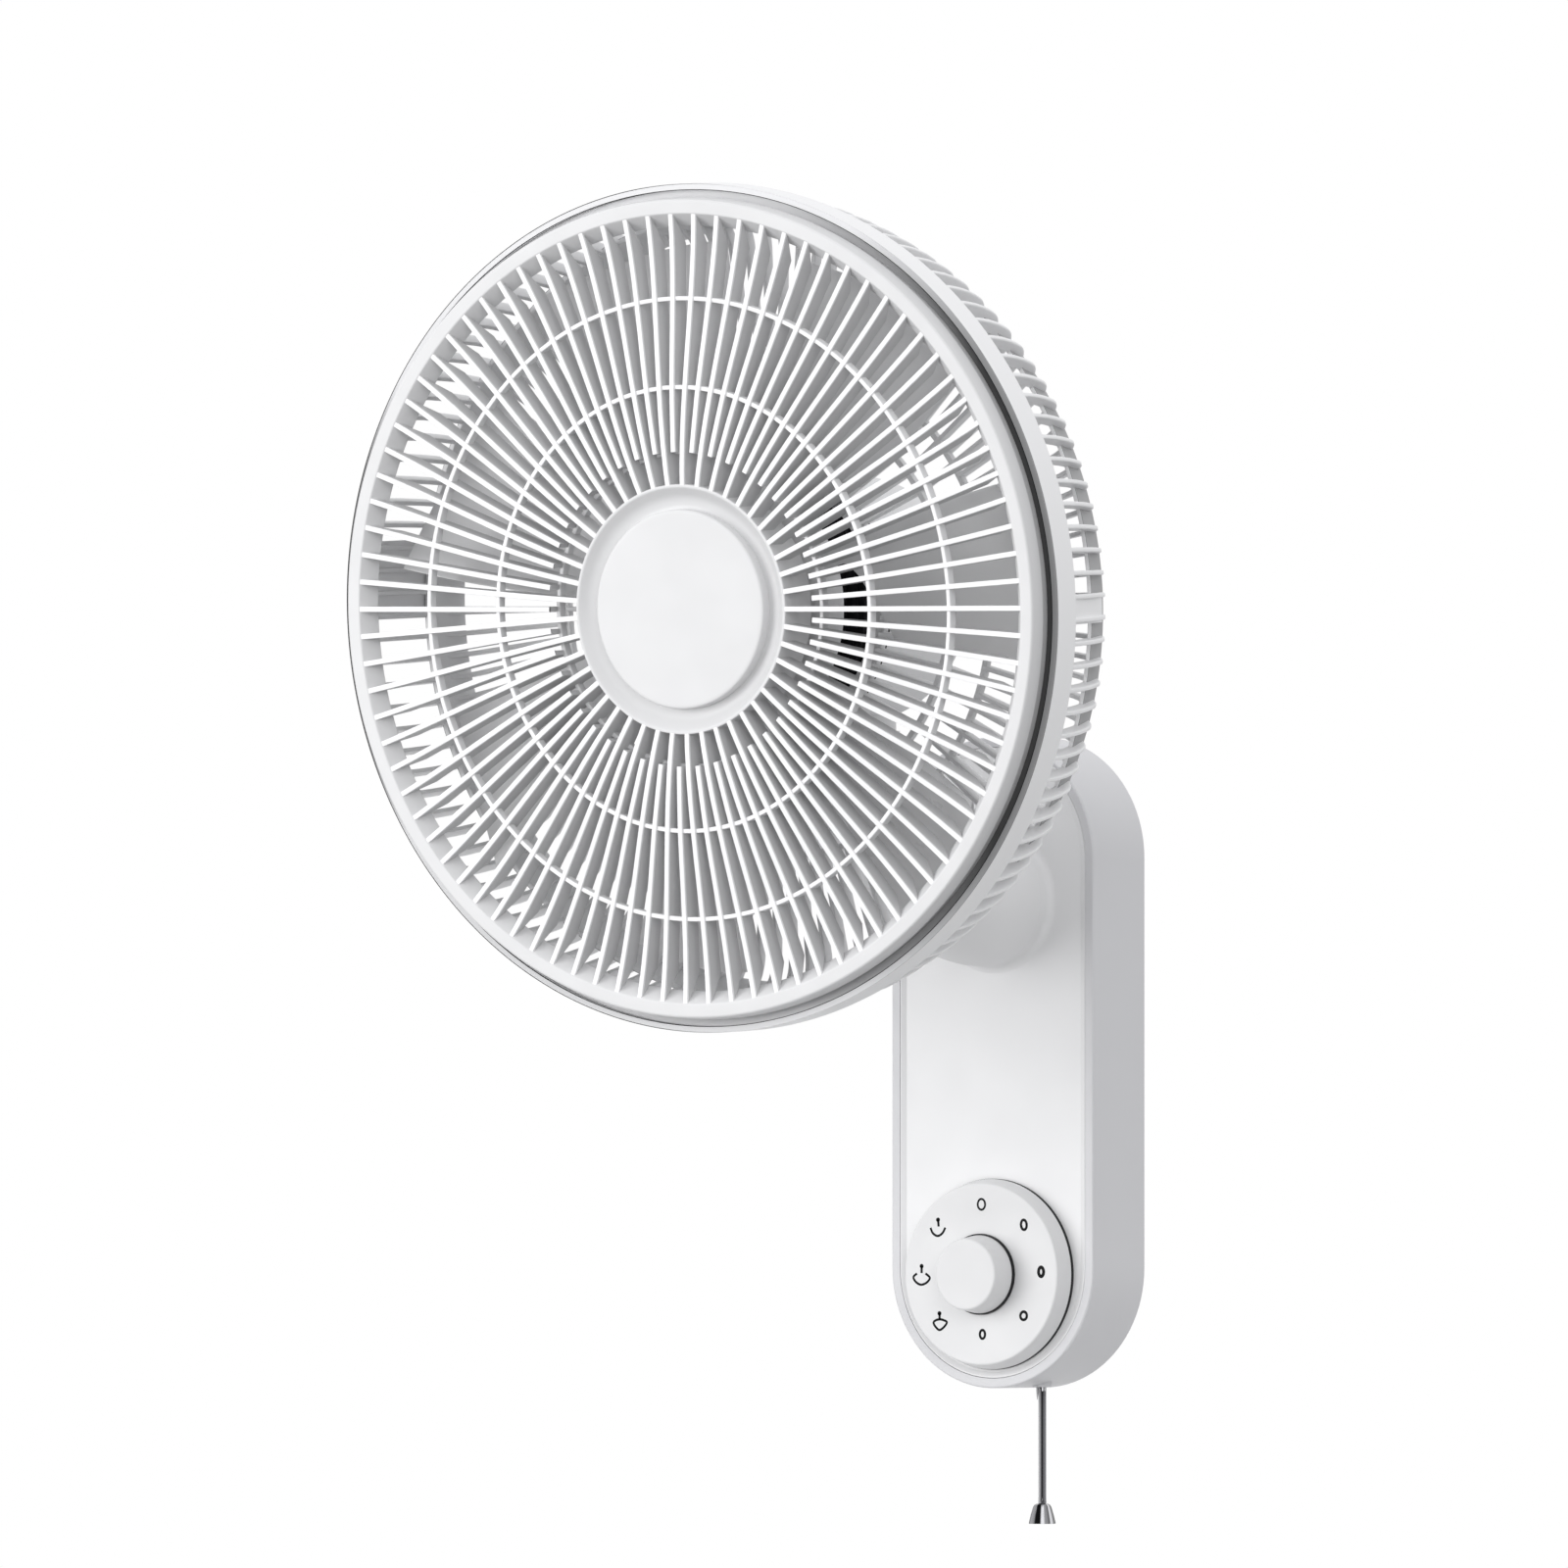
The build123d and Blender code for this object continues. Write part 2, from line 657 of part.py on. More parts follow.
def make_tilt_washers():
    rings = []
    for side in (-1, 1):
        outer = side * tilt_slot_half
        inner = side * (tilt_slot_half - washer_thickness)
        ring = rod_x(tilt_ear_radius - washer_inset, outer, inner, tilt_y, tilt_z)
        ring -= rod_x(tilt_bolt_radius + screw_fit, outer + side * past, inner - side * past, tilt_y, tilt_z)
        rings.append(ring.solid())
    return Compound(children=rings)


# ---------------------------------------------------------------- neck and swing drive
def make_neck():
    body = rod_x(tongue_radius, -tongue_half, tongue_half, tilt_y, tilt_z)
    body += block(-tongue_half, tongue_half, swing_y - column_half_depth, swing_y + column_half_depth,
                  tilt_z, turret_bottom_z + past)
    body += rod_z(turret_radius, turret_bottom_z, turret_top_z, 0, swing_y)
    body -= rod_x(tilt_bolt_radius + running_fit, -tongue_half - past, tongue_half + past, tilt_y, tilt_z)
    body -= rod_z(swing_shaft_radius, turret_bottom_z - swing_shaft_press, turret_top_z + past, 0, swing_y)
    return body


def make_swing_shaft():
    """A steel post pressed into the neck, which carries the head's bushing and the fixed gear."""
    foot_z = turret_bottom_z - swing_shaft_press
    return rod_z(swing_shaft_radius, foot_z, gear_top_z + shaft_reach, 0, swing_y)


def make_shaft_clip():
    ring = rod_z(swing_shaft_radius + clip_width, gear_top_z, gear_top_z + clip_height, 0, swing_y)
    return ring - rod_z(swing_shaft_radius, gear_top_z - past, gear_top_z + clip_height + past, 0, swing_y)


def gear_outline(teeth, turn):
    """Involute teeth from the base circle to the tip, with straight roots below the base circle."""
    pressure = radians(gear_pressure)
    pitch = gear_module * teeth / 2
    base = pitch * cos(pressure)
    tip = pitch + gear_module
    root = pitch - 1.25 * gear_module
    half = pi / (2 * teeth) - gear_backlash / (2 * pitch) + tan(pressure) - pressure

    def flank(radius):
        angle = acos(min(1.0, base / radius))
        return half - (tan(angle) - angle)

    start = max(base, root)
    steps = 4
    radii = [start + (tip - start) * i / steps for i in range(steps + 1)]
    points = []
    for tooth in range(teeth):
        middle = radians(turn) + 2 * pi * tooth / teeth
        if root < base:
            points.append((root, middle - flank(base)))
        points += [(r, middle - flank(r)) for r in radii]
        points += [(r, middle + flank(r)) for r in reversed(radii)]
        if root < base:
            points.append((root, middle + flank(base)))
    return Polyline(*[(r * cos(a), r * sin(a)) for r, a in points], close=True)


def make_swing_gear():
    """The fixed gear on the post; a tooth space faces the pinion."""
    wheel = extrude(make_face(gear_outline(gear_teeth, 180 / gear_teeth)), amount=gear_thickness)
    wheel -= rod_z(swing_shaft_radius, -past, gear_thickness + past, 0, 0)
    return Pos(0, swing_y, gear_bottom_z) * wheel


def make_swing_pinion():
    wheel = extrude(make_face(gear_outline(pinion_teeth, 0)), amount=gear_thickness)
    shaft_top = shelf_top_z - gear_bottom_z + pinion_shaft_depth
    wheel += rod_z(pinion_shaft_radius, gear_thickness - past, shaft_top, 0, 0)
    return Pos(pinion_x, swing_y, gear_bottom_z) * wheel


def make_swing_motor():
    """The small synchronous motor that turns the pinion."""
    can = rod_z(stepper_radius, shelf_top_z, shelf_top_z + stepper_height, pinion_x, swing_y)
    return can - rod_z(pinion_shaft_radius + running_fit, shelf_top_z - past,
                       shelf_top_z + pinion_shaft_depth + past, pinion_x, swing_y)


def make_swing_bushing():
    bore = swing_shaft_radius + running_fit
    flange = bushing_radius + bushing_flange
    flange_top = head_bottom_z + bushing_flange_height
    return turned_z([(bore, head_bottom_z), (flange, head_bottom_z), (flange, flange_top),
                     (bushing_radius, flange_top), (bushing_radius, boss_top_z), (bore, boss_top_z)],
                    y=swing_y)


# ---------------------------------------------------------------- motor
def make_motor_front_case():
    y_face = at_depth(motor_front_depth)
    y_in = y_face + motor_wall
    y_flange = at_depth(cage_mount_depth)
    y_step = y_flange + motor_flange_thickness
    y_split = at_depth(motor_split_depth)
    y_seat = y_face - bearing_proud
    y_nose = y_seat - bearing_end_wall
    seat_back = y_seat + bearing_length + bearing_room
    inner = motor_radius - motor_wall
    boss = bearing_radius + bearing_wall
    case = turned_y([(shaft_hole_radius, y_nose), (boss, y_nose), (boss, y_face),
                     (motor_front_radius, y_face), (motor_front_radius, y_flange),
                     (cage_mount_outer_radius, y_flange),
                     (cage_mount_outer_radius, y_step), (motor_radius, y_step), (motor_radius, y_split),
                     (inner, y_split), (inner, y_in), (boss, y_in), (boss, seat_back),
                     (bearing_radius, seat_back), (bearing_radius, y_seat), (shaft_hole_radius, y_seat)])
    for radius in motor_step_radii:
        case += tube_y(radius, radius + motor_step_width, y_face - motor_step_height, y_face + motor_wall / 2)
    case = on_head(case)
    for x, z in four(guard_screw_offset, guard_screw_offset):
        case -= rod_y(screw_radius, y_flange - past, y_step + past, x, head_z + z)
    return case


def make_motor_rear_cover():
    y_split = at_depth(motor_split_depth)
    y_inner = motor_rear_y - motor_wall
    cover_boss_top = boss_top_z - swing_boss_step
    outside = on_head(rod_y(motor_radius, y_split, motor_rear_y, 0, 0))
    outside = fillet(outside.edges().sort_by(Axis.Y)[-1], motor_rear_round)
    cavity = on_head(rod_y(motor_radius - motor_wall, y_split - past, y_inner, 0, 0))
    cavity = fillet(cavity.edges().sort_by(Axis.Y)[-1], motor_rear_round - motor_wall)
    cover = outside - cavity
    cover += rod_z(swing_boss_radius, head_bottom_z, cover_boss_top, 0, swing_y)
    cover -= rod_z(bushing_radius, head_bottom_z - past, cover_boss_top + past, 0, swing_y)
    cover -= rod_z(bushing_radius + bushing_flange, head_bottom_z - past,
                   head_bottom_z + bushing_flange_height, 0, swing_y)
    for row in range(vent_rows):
        z = head_z + (row - (vent_rows - 1) / 2) * vent_pitch
        cover -= block(-vent_half_width, vent_half_width, y_inner - past, motor_rear_y + past,
                       z - vent_height / 2, z + vent_height / 2)
    return cover


def make_end_shield():
    """The disc behind the stator that holds the rear bearing and the swing motor's shelf."""
    y0 = at_depth(shield_front_depth)
    y1 = y0 + shield_thickness
    y_seat = y0 + shield_seat
    y_seat_end = y_seat + bearing_length
    rim = motor_radius - motor_wall - shield_gap
    boss = bearing_radius + bearing_wall
    disc = turned_y([(shaft_hole_radius, y0), (rim, y0), (rim, y1), (boss, y1), (boss, y_seat_end + past),
                     (shaft_hole_radius, y_seat_end + past), (shaft_hole_radius, y_seat_end),
                     (bearing_radius, y_seat_end), (bearing_radius, y_seat), (shaft_hole_radius, y_seat)])
    disc = on_head(disc)
    disc += block(swing_shaft_radius + shelf_start, pinion_x + stepper_radius, y0, swing_y + stepper_radius,
                  shelf_bottom_z, shelf_top_z)
    disc -= rod_z(shelf_hole_radius, shelf_bottom_z - past, shelf_top_z + past, pinion_x, swing_y)
    for x, z in four(motor_screw_offset, motor_screw_offset):
        disc -= rod_y(screw_radius, y0 - past, y1 + past, x, head_z + z)
    return disc


def make_bearing(y0):
    return on_head(tube_y(shaft_radius + running_fit, bearing_radius, y0, y0 + bearing_length))


def make_front_bearing():
    return make_bearing(at_depth(motor_front_depth) - bearing_proud)


def make_rear_bearing():
    return make_bearing(at_depth(shield_front_depth) + shield_seat)


def in_slots(depth, width, length):
    """Blocks in the stator's slots, all round."""
    middle = Pos(stator_bore + slot_offset, at_depth(stator_front_depth) + stator_length / 2, 0)
    return [Rot(Y=360 / slot_count * k) * middle * Box(depth, length, width) for k in range(slot_count)]


def make_stator_core():
    y0 = at_depth(stator_front_depth)
    y1 = y0 + stator_length
    core = tube_y(stator_bore, stator_radius, y0, y1)
    core = on_head(core - in_slots(slot_depth, slot_width, stator_length + 2 * past))
    for x, z in four(motor_screw_offset, motor_screw_offset):
        core -= rod_y(screw_radius + screw_fit, y0 - past, y1 + past, x, head_z + z)
    return core


def make_stator_coils():
    """A coil bundle in each of the core's slots, joined by an end winding at each side."""
    y0 = at_depth(stator_front_depth)
    y1 = y0 + stator_length
    inner = stator_bore + coil_ring_start
    coils = tube_y(inner, inner + coil_ring, y0 - coil_overhang, y0)
    coils += tube_y(inner, inner + coil_ring, y1, y1 + coil_overhang)
    coils += in_slots(slot_depth - 2 * coil_gap, slot_width - 2 * coil_gap, stator_length + past)
    return on_head(coils)


def make_motor_screws():
    """Four long screws through the stator into the end shield."""
    places = [(x, head_z + z) for x, z in four(motor_screw_offset, motor_screw_offset)]
    return screws_y(places, at_depth(stator_front_depth), at_depth(shield_front_depth) + shield_thickness)


# ---------------------------------------------------------------- turning parts
def make_rotor_shaft():
    rear = at_depth(shield_front_depth) + shield_seat + bearing_length
    return rod_y(shaft_radius, at_depth(spinner_front_depth - cap_nut_reach), rear, 0, head_z)


def make_rotor_core():
    y0 = at_depth(stator_front_depth)
    return on_head(tube_y(shaft_radius, stator_bore - air_gap, y0, y0 + stator_length))


def blade_section(radius, chord, pitch):
    """A thin cambered section across the blade; its leading edge is nearer the wall."""
    along = (0, sin(radians(pitch)), -cos(radians(pitch)))
    plane = Plane(origin=(radius, at_depth(blade_depth), 0), x_dir=along, z_dir=(1, 0, 0))
    rise = blade_camber * chord
    half = chord / 2
    lower = ThreePointArc((-half, 0), (0, rise), (half, 0))
    upper = ThreePointArc((half, blade_thickness), (0, rise + blade_thickness), (-half, blade_thickness))
    ends = [Line(lower @ 1, upper @ 0), Line(upper @ 1, lower @ 0)]
    return plane * make_face([lower, ends[0], upper, ends[1]])


def make_impeller():
    tip = blade_tip_radius + blade_trim
    root = spinner_radius - blade_overlap
    blade = loft([blade_section(root, blade_root_chord, blade_root_pitch),
                  blade_section((root + tip) / 2, blade_mid_chord, blade_mid_pitch),
                  blade_section(tip, blade_tip_chord, blade_tip_pitch)])
    blade &= rod_y(blade_tip_radius, at_depth(0), at_depth(cage_mount_depth), 0, 0)
    y_face = at_depth(spinner_front_depth)
    y_nose = y_face - spinner_dome
    y_rear = at_depth(spinner_rear_depth)
    r = spinner_radius
    w = spinner_wall
    hub = turned_y([(shaft_radius, y_nose), (cap_nut_radius, y_nose), (r - spinner_face_inset, y_face),
                    (r - spinner_slope_inset, y_face + spinner_slope_depth), (r, y_face + spinner_side_depth),
                    (r, y_rear), (r - w, y_rear), (r - w, y_face + spinner_side_depth + w / 4),
                    (r - spinner_slope_inset - w / 2, y_face + spinner_slope_depth + w),
                    (r - spinner_face_inset - past, y_face + w), (spinner_boss_radius, y_face + w),
                    (spinner_boss_radius, y_rear - past), (shaft_radius, y_rear - past)])
    pitch = 360 / blade_count
    hub += [Rot(Y=-(blade_first_angle + k * pitch)) * blade for k in range(blade_count)]
    return on_head(hub)


def make_blade_nut():
    """The cap nut that holds the impeller on its shaft."""
    seat = at_depth(spinner_front_depth) - spinner_dome
    shaft_end = at_depth(spinner_front_depth - cap_nut_reach)
    front = shaft_end - cap_nut_wall
    return on_head(turned_y([(0, front), (cap_nut_radius - cap_nut_bevel, front),
                             (cap_nut_radius, front + cap_nut_bevel + loose_gap), (cap_nut_radius, seat),
                             (shaft_radius, seat), (shaft_radius, shaft_end), (0, shaft_end)]))


# ---------------------------------------------------------------- guards
def spoke_outline(inner_radius, inner_rise):
    """A spoke's side view: domed front edge, deep blade, and a rear edge that runs out at the ring."""
    end = ring_inner_radius + spoke_end_lap
    tip = (end, at_depth(spoke_end_front))
    root = (inner_radius, at_depth(-inner_rise))
    front = Spline(root, (spoke_ring_one_radius, at_depth(-spoke_ring_one_rise)),
                   (spoke_ring_two_radius, at_depth(-spoke_ring_two_rise)), tip)
    rear = Polyline(tip, (end, at_depth(spoke_end_rear)),
                    (ring_throat_radius - spoke_runout, at_depth(spoke_depth - spoke_runout_rise)),
                    (spoke_ring_one_radius, at_depth(spoke_depth - spoke_ring_one_rise)),
                    (inner_radius, at_depth(spoke_depth - inner_rise)), root)
    return [front, rear]


def make_front_guard():
    y0 = at_depth(0)
    wall = ring_wall
    inner = ring_inner_radius
    outer = ring_outer_radius
    side = outer + ring_side_draft
    neck = side - groove_step
    y_side = at_depth(ring_side_depth)
    flange = band_outer_radius - band_wall - groove_gap
    y_flange = at_depth(flange_depth)
    y_back = y_flange + flange_thickness
    throat = ring_throat_radius
    y_throat = at_depth(ring_throat_depth)
    ring = turned_y([(inner, y0), (outer, y0), (side, y_side), (neck, y_side), (neck, y_flange),
                     (flange, y_flange), (flange, y_back), (neck - wall, y_back), (neck - wall, y0 + wall),
                     (inner + wall / 2, y0 + wall),
                     (throat + ring_throat_wall, y_throat + ring_throat_wall / 2), (throat, y_throat)])
    y_rim = at_depth(-spoke_hub_rise)
    y_dish = at_depth(-dish_depth)
    y_skirt = at_depth(hub_skirt_depth)
    hub_in = hub_radius - hub_wall
    slope_end = hub_radius - hub_lip_slope
    hub = turned_y([(0, y_dish), (cap_radius + cap_gap, y_dish), (slope_end, y_dish - dish_rise),
                    (hub_radius - hub_lip, y_rim), (hub_radius, y_rim), (hub_radius, y_skirt),
                    (hub_in, y_skirt), (hub_in, y_dish + hub_wall / 2),
                    (slope_end - hub_wall / 2, y_dish + hub_wall), (0, y_dish + hub_wall)])
    half = spoke_ring_width / 2
    rings = []
    short_ring_rise = spoke_hub_rise + spoke_ring_depth - spoke_depth
    for radius, rise in ((spoke_ring_one_radius, spoke_ring_one_rise),
                         (spoke_ring_two_radius, spoke_ring_two_rise),
                         (short_spoke_radius, short_ring_rise)):
        rings.append(tube_y(radius - half, radius + half, at_depth(-rise), at_depth(spoke_ring_depth - rise)))
    pitch = 360 / spoke_count
    long_spoke = (hub_radius - spoke_root_lap, spoke_hub_rise)
    short_spoke = (short_spoke_radius, spoke_hub_rise - spoke_short_drop)
    spokes = [radial_plate(spoke_outline(*(short_spoke if k % 2 else long_spoke)), spoke_thickness, k * pitch)
              for k in range(spoke_count)]
    return on_head(ring + [hub] + rings + spokes)


def make_guard_cap():
    """The plain round cap in the guard's hub."""
    cap = rod_y(cap_radius, at_depth(-cap_rise), at_depth(-dish_depth), 0, 0)
    return on_head(fillet(cap.edges().sort_by(Axis.Y)[0], cap_round))


def cage_outline(inner_radius):
    """A cage rib's side view: along the rim, round the corner, in across the back, forward to the mount."""
    width = cage_rib_width
    start = at_depth(band_rear_depth) - past
    middle = (cage_rim_lean + cage_rim_lean_end) / 2
    corner_middle = (cage_rim_lean_end + 90) / 2
    rim = ThreePointArc(*[rim_point(a) for a in (cage_rim_lean, middle, cage_rim_lean_end)])
    rim_in = ThreePointArc(*[rim_point(a, width) for a in (cage_rim_lean_end, middle, cage_rim_lean)])
    corner = ThreePointArc(*[corner_point(a) for a in (cage_rim_lean_end, corner_middle, 90)])
    corner_in = ThreePointArc(*[corner_point(a, width) for a in (90, corner_middle, cage_rim_lean_end)])
    y_back = at_depth(cage_back_depth)
    if inner_radius >= cage_ring_radii[-1]:
        back = [(inner_radius, y_back), (inner_radius, y_back - width)]
    else:
        bend = cage_ring_radii[-1]
        y_foot = at_depth(cage_mount_depth)
        back = [(bend, y_back), (inner_radius, y_foot), (inner_radius, y_foot - width),
                (bend, y_back - width)]
    return [rim, corner, Polyline(corner @ 1, *back, corner_in @ 0), corner_in, rim_in,
            Polyline(rim_in @ 1, ((rim_in @ 1).X, start), ((rim @ 0).X, start), rim @ 0)]


def guard_bar(side, heights):
    """A curved bar between the ribs, from the band to the hoop, on one side of the cage."""
    low, high = heights
    front = rim_radius(band_rear_depth) - bar_inset
    rear = rim_radius(bar_rear_depth) - bar_inset
    y_front = at_depth(band_rear_depth) - past
    y_rear = at_depth(bar_rear_depth)
    shell = turned_y([(front - bar_thickness, y_front), (front, y_front), (rear, y_rear),
                      (rear - bar_thickness, y_rear)])
    return shell & block(0, side * band_outer_radius, y_front - past, y_rear + past, low, high)


def make_rear_guard():
    outer = band_outer_radius
    lip = outer - band_wall
    ledge = lip - band_ledge
    y_ledge = at_depth(flange_depth + flange_thickness)
    y_rear = at_depth(band_rear_depth)
    band = turned_y([(lip, at_depth(band_front_depth)), (outer, at_depth(band_front_depth)), (outer, y_rear),
                     (ledge, y_rear), (ledge, y_ledge), (lip, y_ledge)])
    front_radius, front_depth = hoop_front
    rear_radius, rear_depth = hoop_rear
    y_front, y_end = at_depth(front_depth), at_depth(rear_depth)
    rings = [turned_y([(front_radius - hoop_thickness, y_front), (front_radius, y_front),
                       (rear_radius, y_end), (rear_radius - hoop_thickness, y_end)])]
    ring_front = at_depth(cage_back_depth) - cage_rib_width + cage_ring_lap
    for radius in cage_ring_radii:
        rings.append(tube_y(radius - cage_ring_width / 2, radius + cage_ring_width / 2, ring_front,
                            ring_front + cage_ring_depth))
    y_mount = at_depth(cage_mount_depth)
    mount_front = y_mount - cage_mount_thickness
    mount = tube_y(cage_mount_inner_radius, cage_mount_outer_radius + past, mount_front, y_mount)
    for x, z in four(guard_screw_offset, guard_screw_offset):
        mount -= rod_y(screw_radius + screw_fit, mount_front - past, y_mount + past, x, z)
    bars = [guard_bar(1, bar_right_heights), guard_bar(-1, bar_left_heights)]
    pitch = 360 / cage_rib_count
    ribs = []
    for k in range(cage_rib_count):
        reach = cage_ring_radii[0] if k % 2 else cage_mount_outer_radius
        ribs.append(radial_plate(cage_outline(reach), cage_rib_thickness, cage_first_rib + k * pitch))
    return on_head(band + rings + [mount] + bars + ribs)


def make_guard_screws():
    """Four screws that hold the cage's mounting ring on the motor's flange."""
    y_mount = at_depth(cage_mount_depth)
    places = [(x, head_z + z) for x, z in four(guard_screw_offset, guard_screw_offset)]
    return screws_y(places, y_mount - cage_mount_thickness, y_mount + motor_flange_thickness)


# ---------------------------------------------------------------- dial, knob and switch
def make_dial_plate():
    """The fixed legend disc: a round cap with a thin shadow gap at its base."""
    back = panel_front_y
    shadow = back - dial_gap
    front = dial_front_y
    cavity = front + dial_wall
    neck = dial_neck_radius
    neck_in = neck - dial_neck_wall
    hole = switch_bushing_radius + dial_hole_room
    return turned_y([(neck_in, back), (neck, back), (neck, shadow), (dial_base_radius, shadow),
                     (dial_front_radius, front + dial_edge), (dial_front_radius - dial_edge, front),
                     (hole, front), (hole, cavity), (neck_in, cavity)], z=dial_z)


def make_control_knob():
    back = dial_front_y - knob_gap
    front = knob_front_y
    web = front + knob_wall
    spindle_front = web + knob_spindle_room
    hub = spindle_radius + knob_hub_wall
    return turned_y([(0, front), (knob_front_radius - knob_edge, front),
                     (knob_front_radius, front + knob_edge), (knob_base_radius, back),
                     (knob_base_radius - knob_wall, back), (knob_front_radius - knob_wall, web), (hub, web),
                     (hub, back), (spindle_radius, back), (spindle_radius, spindle_front),
                     (0, spindle_front)], z=dial_z)


def make_knob_spindle():
    return rod_y(spindle_radius, knob_front_y + knob_wall + knob_spindle_room, switch_back_y - spindle_end, 0,
                 dial_z)


def make_rotary_switch():
    half = switch_size / 2
    body = block(-half, half, switch_front_y, switch_back_y, dial_z - half, dial_z + half)
    bushing_end = dial_front_y + switch_bushing_reach
    bore_end = switch_back_y - spindle_end + loose_gap
    body += rod_y(switch_bushing_radius, switch_front_y + past, bushing_end, 0, dial_z)
    body -= rod_y(spindle_radius + running_fit, bushing_end - past, bore_end, 0, dial_z)
    return body


def make_switch_nut():
    face = Plane(origin=(0, panel_front_y, dial_z), x_dir=(1, 0, 0), z_dir=(0, -1, 0))
    nut = extrude(face * RegularPolygon(switch_nut_radius, 6), amount=switch_nut_thickness)
    front = panel_front_y - switch_nut_thickness
    return nut - rod_y(switch_bushing_radius, panel_front_y + past, front - past, 0, dial_z)


# ---------------------------------------------------------------- pull switch and cord
def make_pull_switch():
    half = pull_switch_half
    body = block(pull_x - half, pull_x + half, pull_y - half, pull_y + half, pull_switch_bottom_z,
                 pull_switch_top_z)
    body -= rod_z(plunger_head_radius + plunger_room, spring_bottom_z, plunger_head_top_z + loose_gap, pull_x,
                  pull_y)
    body -= rod_z(pull_rod_radius + running_fit, pull_switch_bottom_z - past, spring_bottom_z + past, pull_x,
                  pull_y)
    return body


def make_return_spring():
    """The plunger's return spring, as a sleeve of its outer shape."""
    sleeve = rod_z(plunger_head_radius - loose_gap, spring_bottom_z, spring_top_z, pull_x, pull_y)
    return sleeve - rod_z(pull_rod_radius + spring_gap, spring_bottom_z - past, spring_top_z + past, pull_x,
                          pull_y)


def make_pull_plunger():
    rod = rod_z(pull_rod_radius, cord_top_z, plunger_head_top_z, pull_x, pull_y)
    return rod + rod_z(plunger_head_radius, spring_top_z, plunger_head_top_z, pull_x, pull_y)


def round_end_z(radius, x):
    """Height of the panel's lower round end at that distance to the side."""
    return -panel_end - sqrt(radius ** 2 - x ** 2)


def make_cord_bushing():
    bore = pull_rod_radius + loose_gap
    flange = cord_bush_radius + cord_bush_flange
    flange_bottom = round_end_z(panel_radius - panel_wall, pull_x + flange) + screw_fit
    flange_top = flange_bottom + cord_bush_thickness
    end = round_end_z(panel_radius, pull_x - cord_bush_radius) - 2 * screw_fit
    return turned_z([(bore, end), (cord_bush_radius, end), (cord_bush_radius, flange_bottom),
                     (flange, flange_bottom), (flange, flange_top), (bore, flange_top)], pull_x, pull_y)


def make_pull_cord():
    return rod_z(cord_radius, cord_bottom_z, cord_top_z, pull_x, pull_y)


def make_pull_bell():
    top = cord_bottom_z
    return turned_z([(0, top), (bell_top_radius - bell_bevel, top), (bell_top_radius, top - bell_bevel),
                     (bell_bottom_radius, bell_bottom_z + bell_foot), (bell_bottom_radius, bell_bottom_z),
                     (0, bell_bottom_z)], pull_x, pull_y)


# ---------------------------------------------------------------- write one file per piece
fixed_pieces = {
    "wall_plate": make_wall_plate,
    "rear_housing": make_rear_housing,
    "front_panel": make_front_panel,
    "panel_screws": make_panel_screws,
    "control_board": make_control_board,
    "motor_capacitor": make_capacitor,
    "terminal_block": make_terminal_block,
    "cable_inlet": make_cable_inlet,
    "arm": make_arm,
    "arm_screws": make_arm_screws,
    "tilt_bolt": make_tilt_bolt,
    "tilt_nut": make_tilt_nut,
    "tilt_washers": make_tilt_washers,
    "dial_plate": make_dial_plate,
    "control_knob": make_control_knob,
    "knob_spindle": make_knob_spindle,
    "rotary_switch": make_rotary_switch,
    "switch_nut": make_switch_nut,
    "pull_switch": make_pull_switch,
    "return_spring": make_return_spring,
    "pull_plunger": make_pull_plunger,
    "cord_bushing": make_cord_bushing,
    "pull_cord": make_pull_cord,
    "pull_bell": make_pull_bell,
}
tilting_pieces = {
    "neck": make_neck,
    "swing_shaft": make_swing_shaft,
    "swing_gear": make_swing_gear,
    "shaft_clip": make_shaft_clip,
    "swing_pinion": make_swing_pinion,
    "swing_motor": make_swing_motor,
    "swing_bushing": make_swing_bushing,
    "motor_front_case": make_motor_front_case,
    "motor_rear_cover": make_motor_rear_cover,
    "end_shield": make_end_shield,
    "front_bearing": make_front_bearing,
    "rear_bearing": make_rear_bearing,
    "stator_core": make_stator_core,
    "stator_coils": make_stator_coils,
    "motor_screws": make_motor_screws,
    "rotor_shaft": make_rotor_shaft,
    "rotor_core": make_rotor_core,
    "impeller": make_impeller,
    "blade_nut": make_blade_nut,
    "front_guard": make_front_guard,
    "guard_cap": make_guard_cap,
    "rear_guard": make_rear_guard,
    "guard_screws": make_guard_screws,
}


def tipped(shape):
    """The level shape at rest: turned about the tilt bolt, solid by solid."""
    turn = Pos(0, tilt_y, tilt_z) * Rot(X=rest_tilt) * Pos(0, -tilt_y, -tilt_z)
    solids = [turn * solid for solid in shape.solids()]
    return solids[0] if len(solids) == 1 else Compound(children=solids)


os.makedirs("parts", exist_ok=True)
for name, make in fixed_pieces.items():
    export_step(make(), f"parts/{name}.step")
for name, make in tilting_pieces.items():
    export_step(tipped(make()), f"parts/{name}.step")
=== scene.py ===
"""Looks of the wall mounted fan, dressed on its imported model. Sizes are in millimetres; make_piece turns
them into the frame's metres."""
from math import cos, hypot, pi, radians, sin, sqrt

import bmesh
import bpy
from mathutils import Matrix, Vector


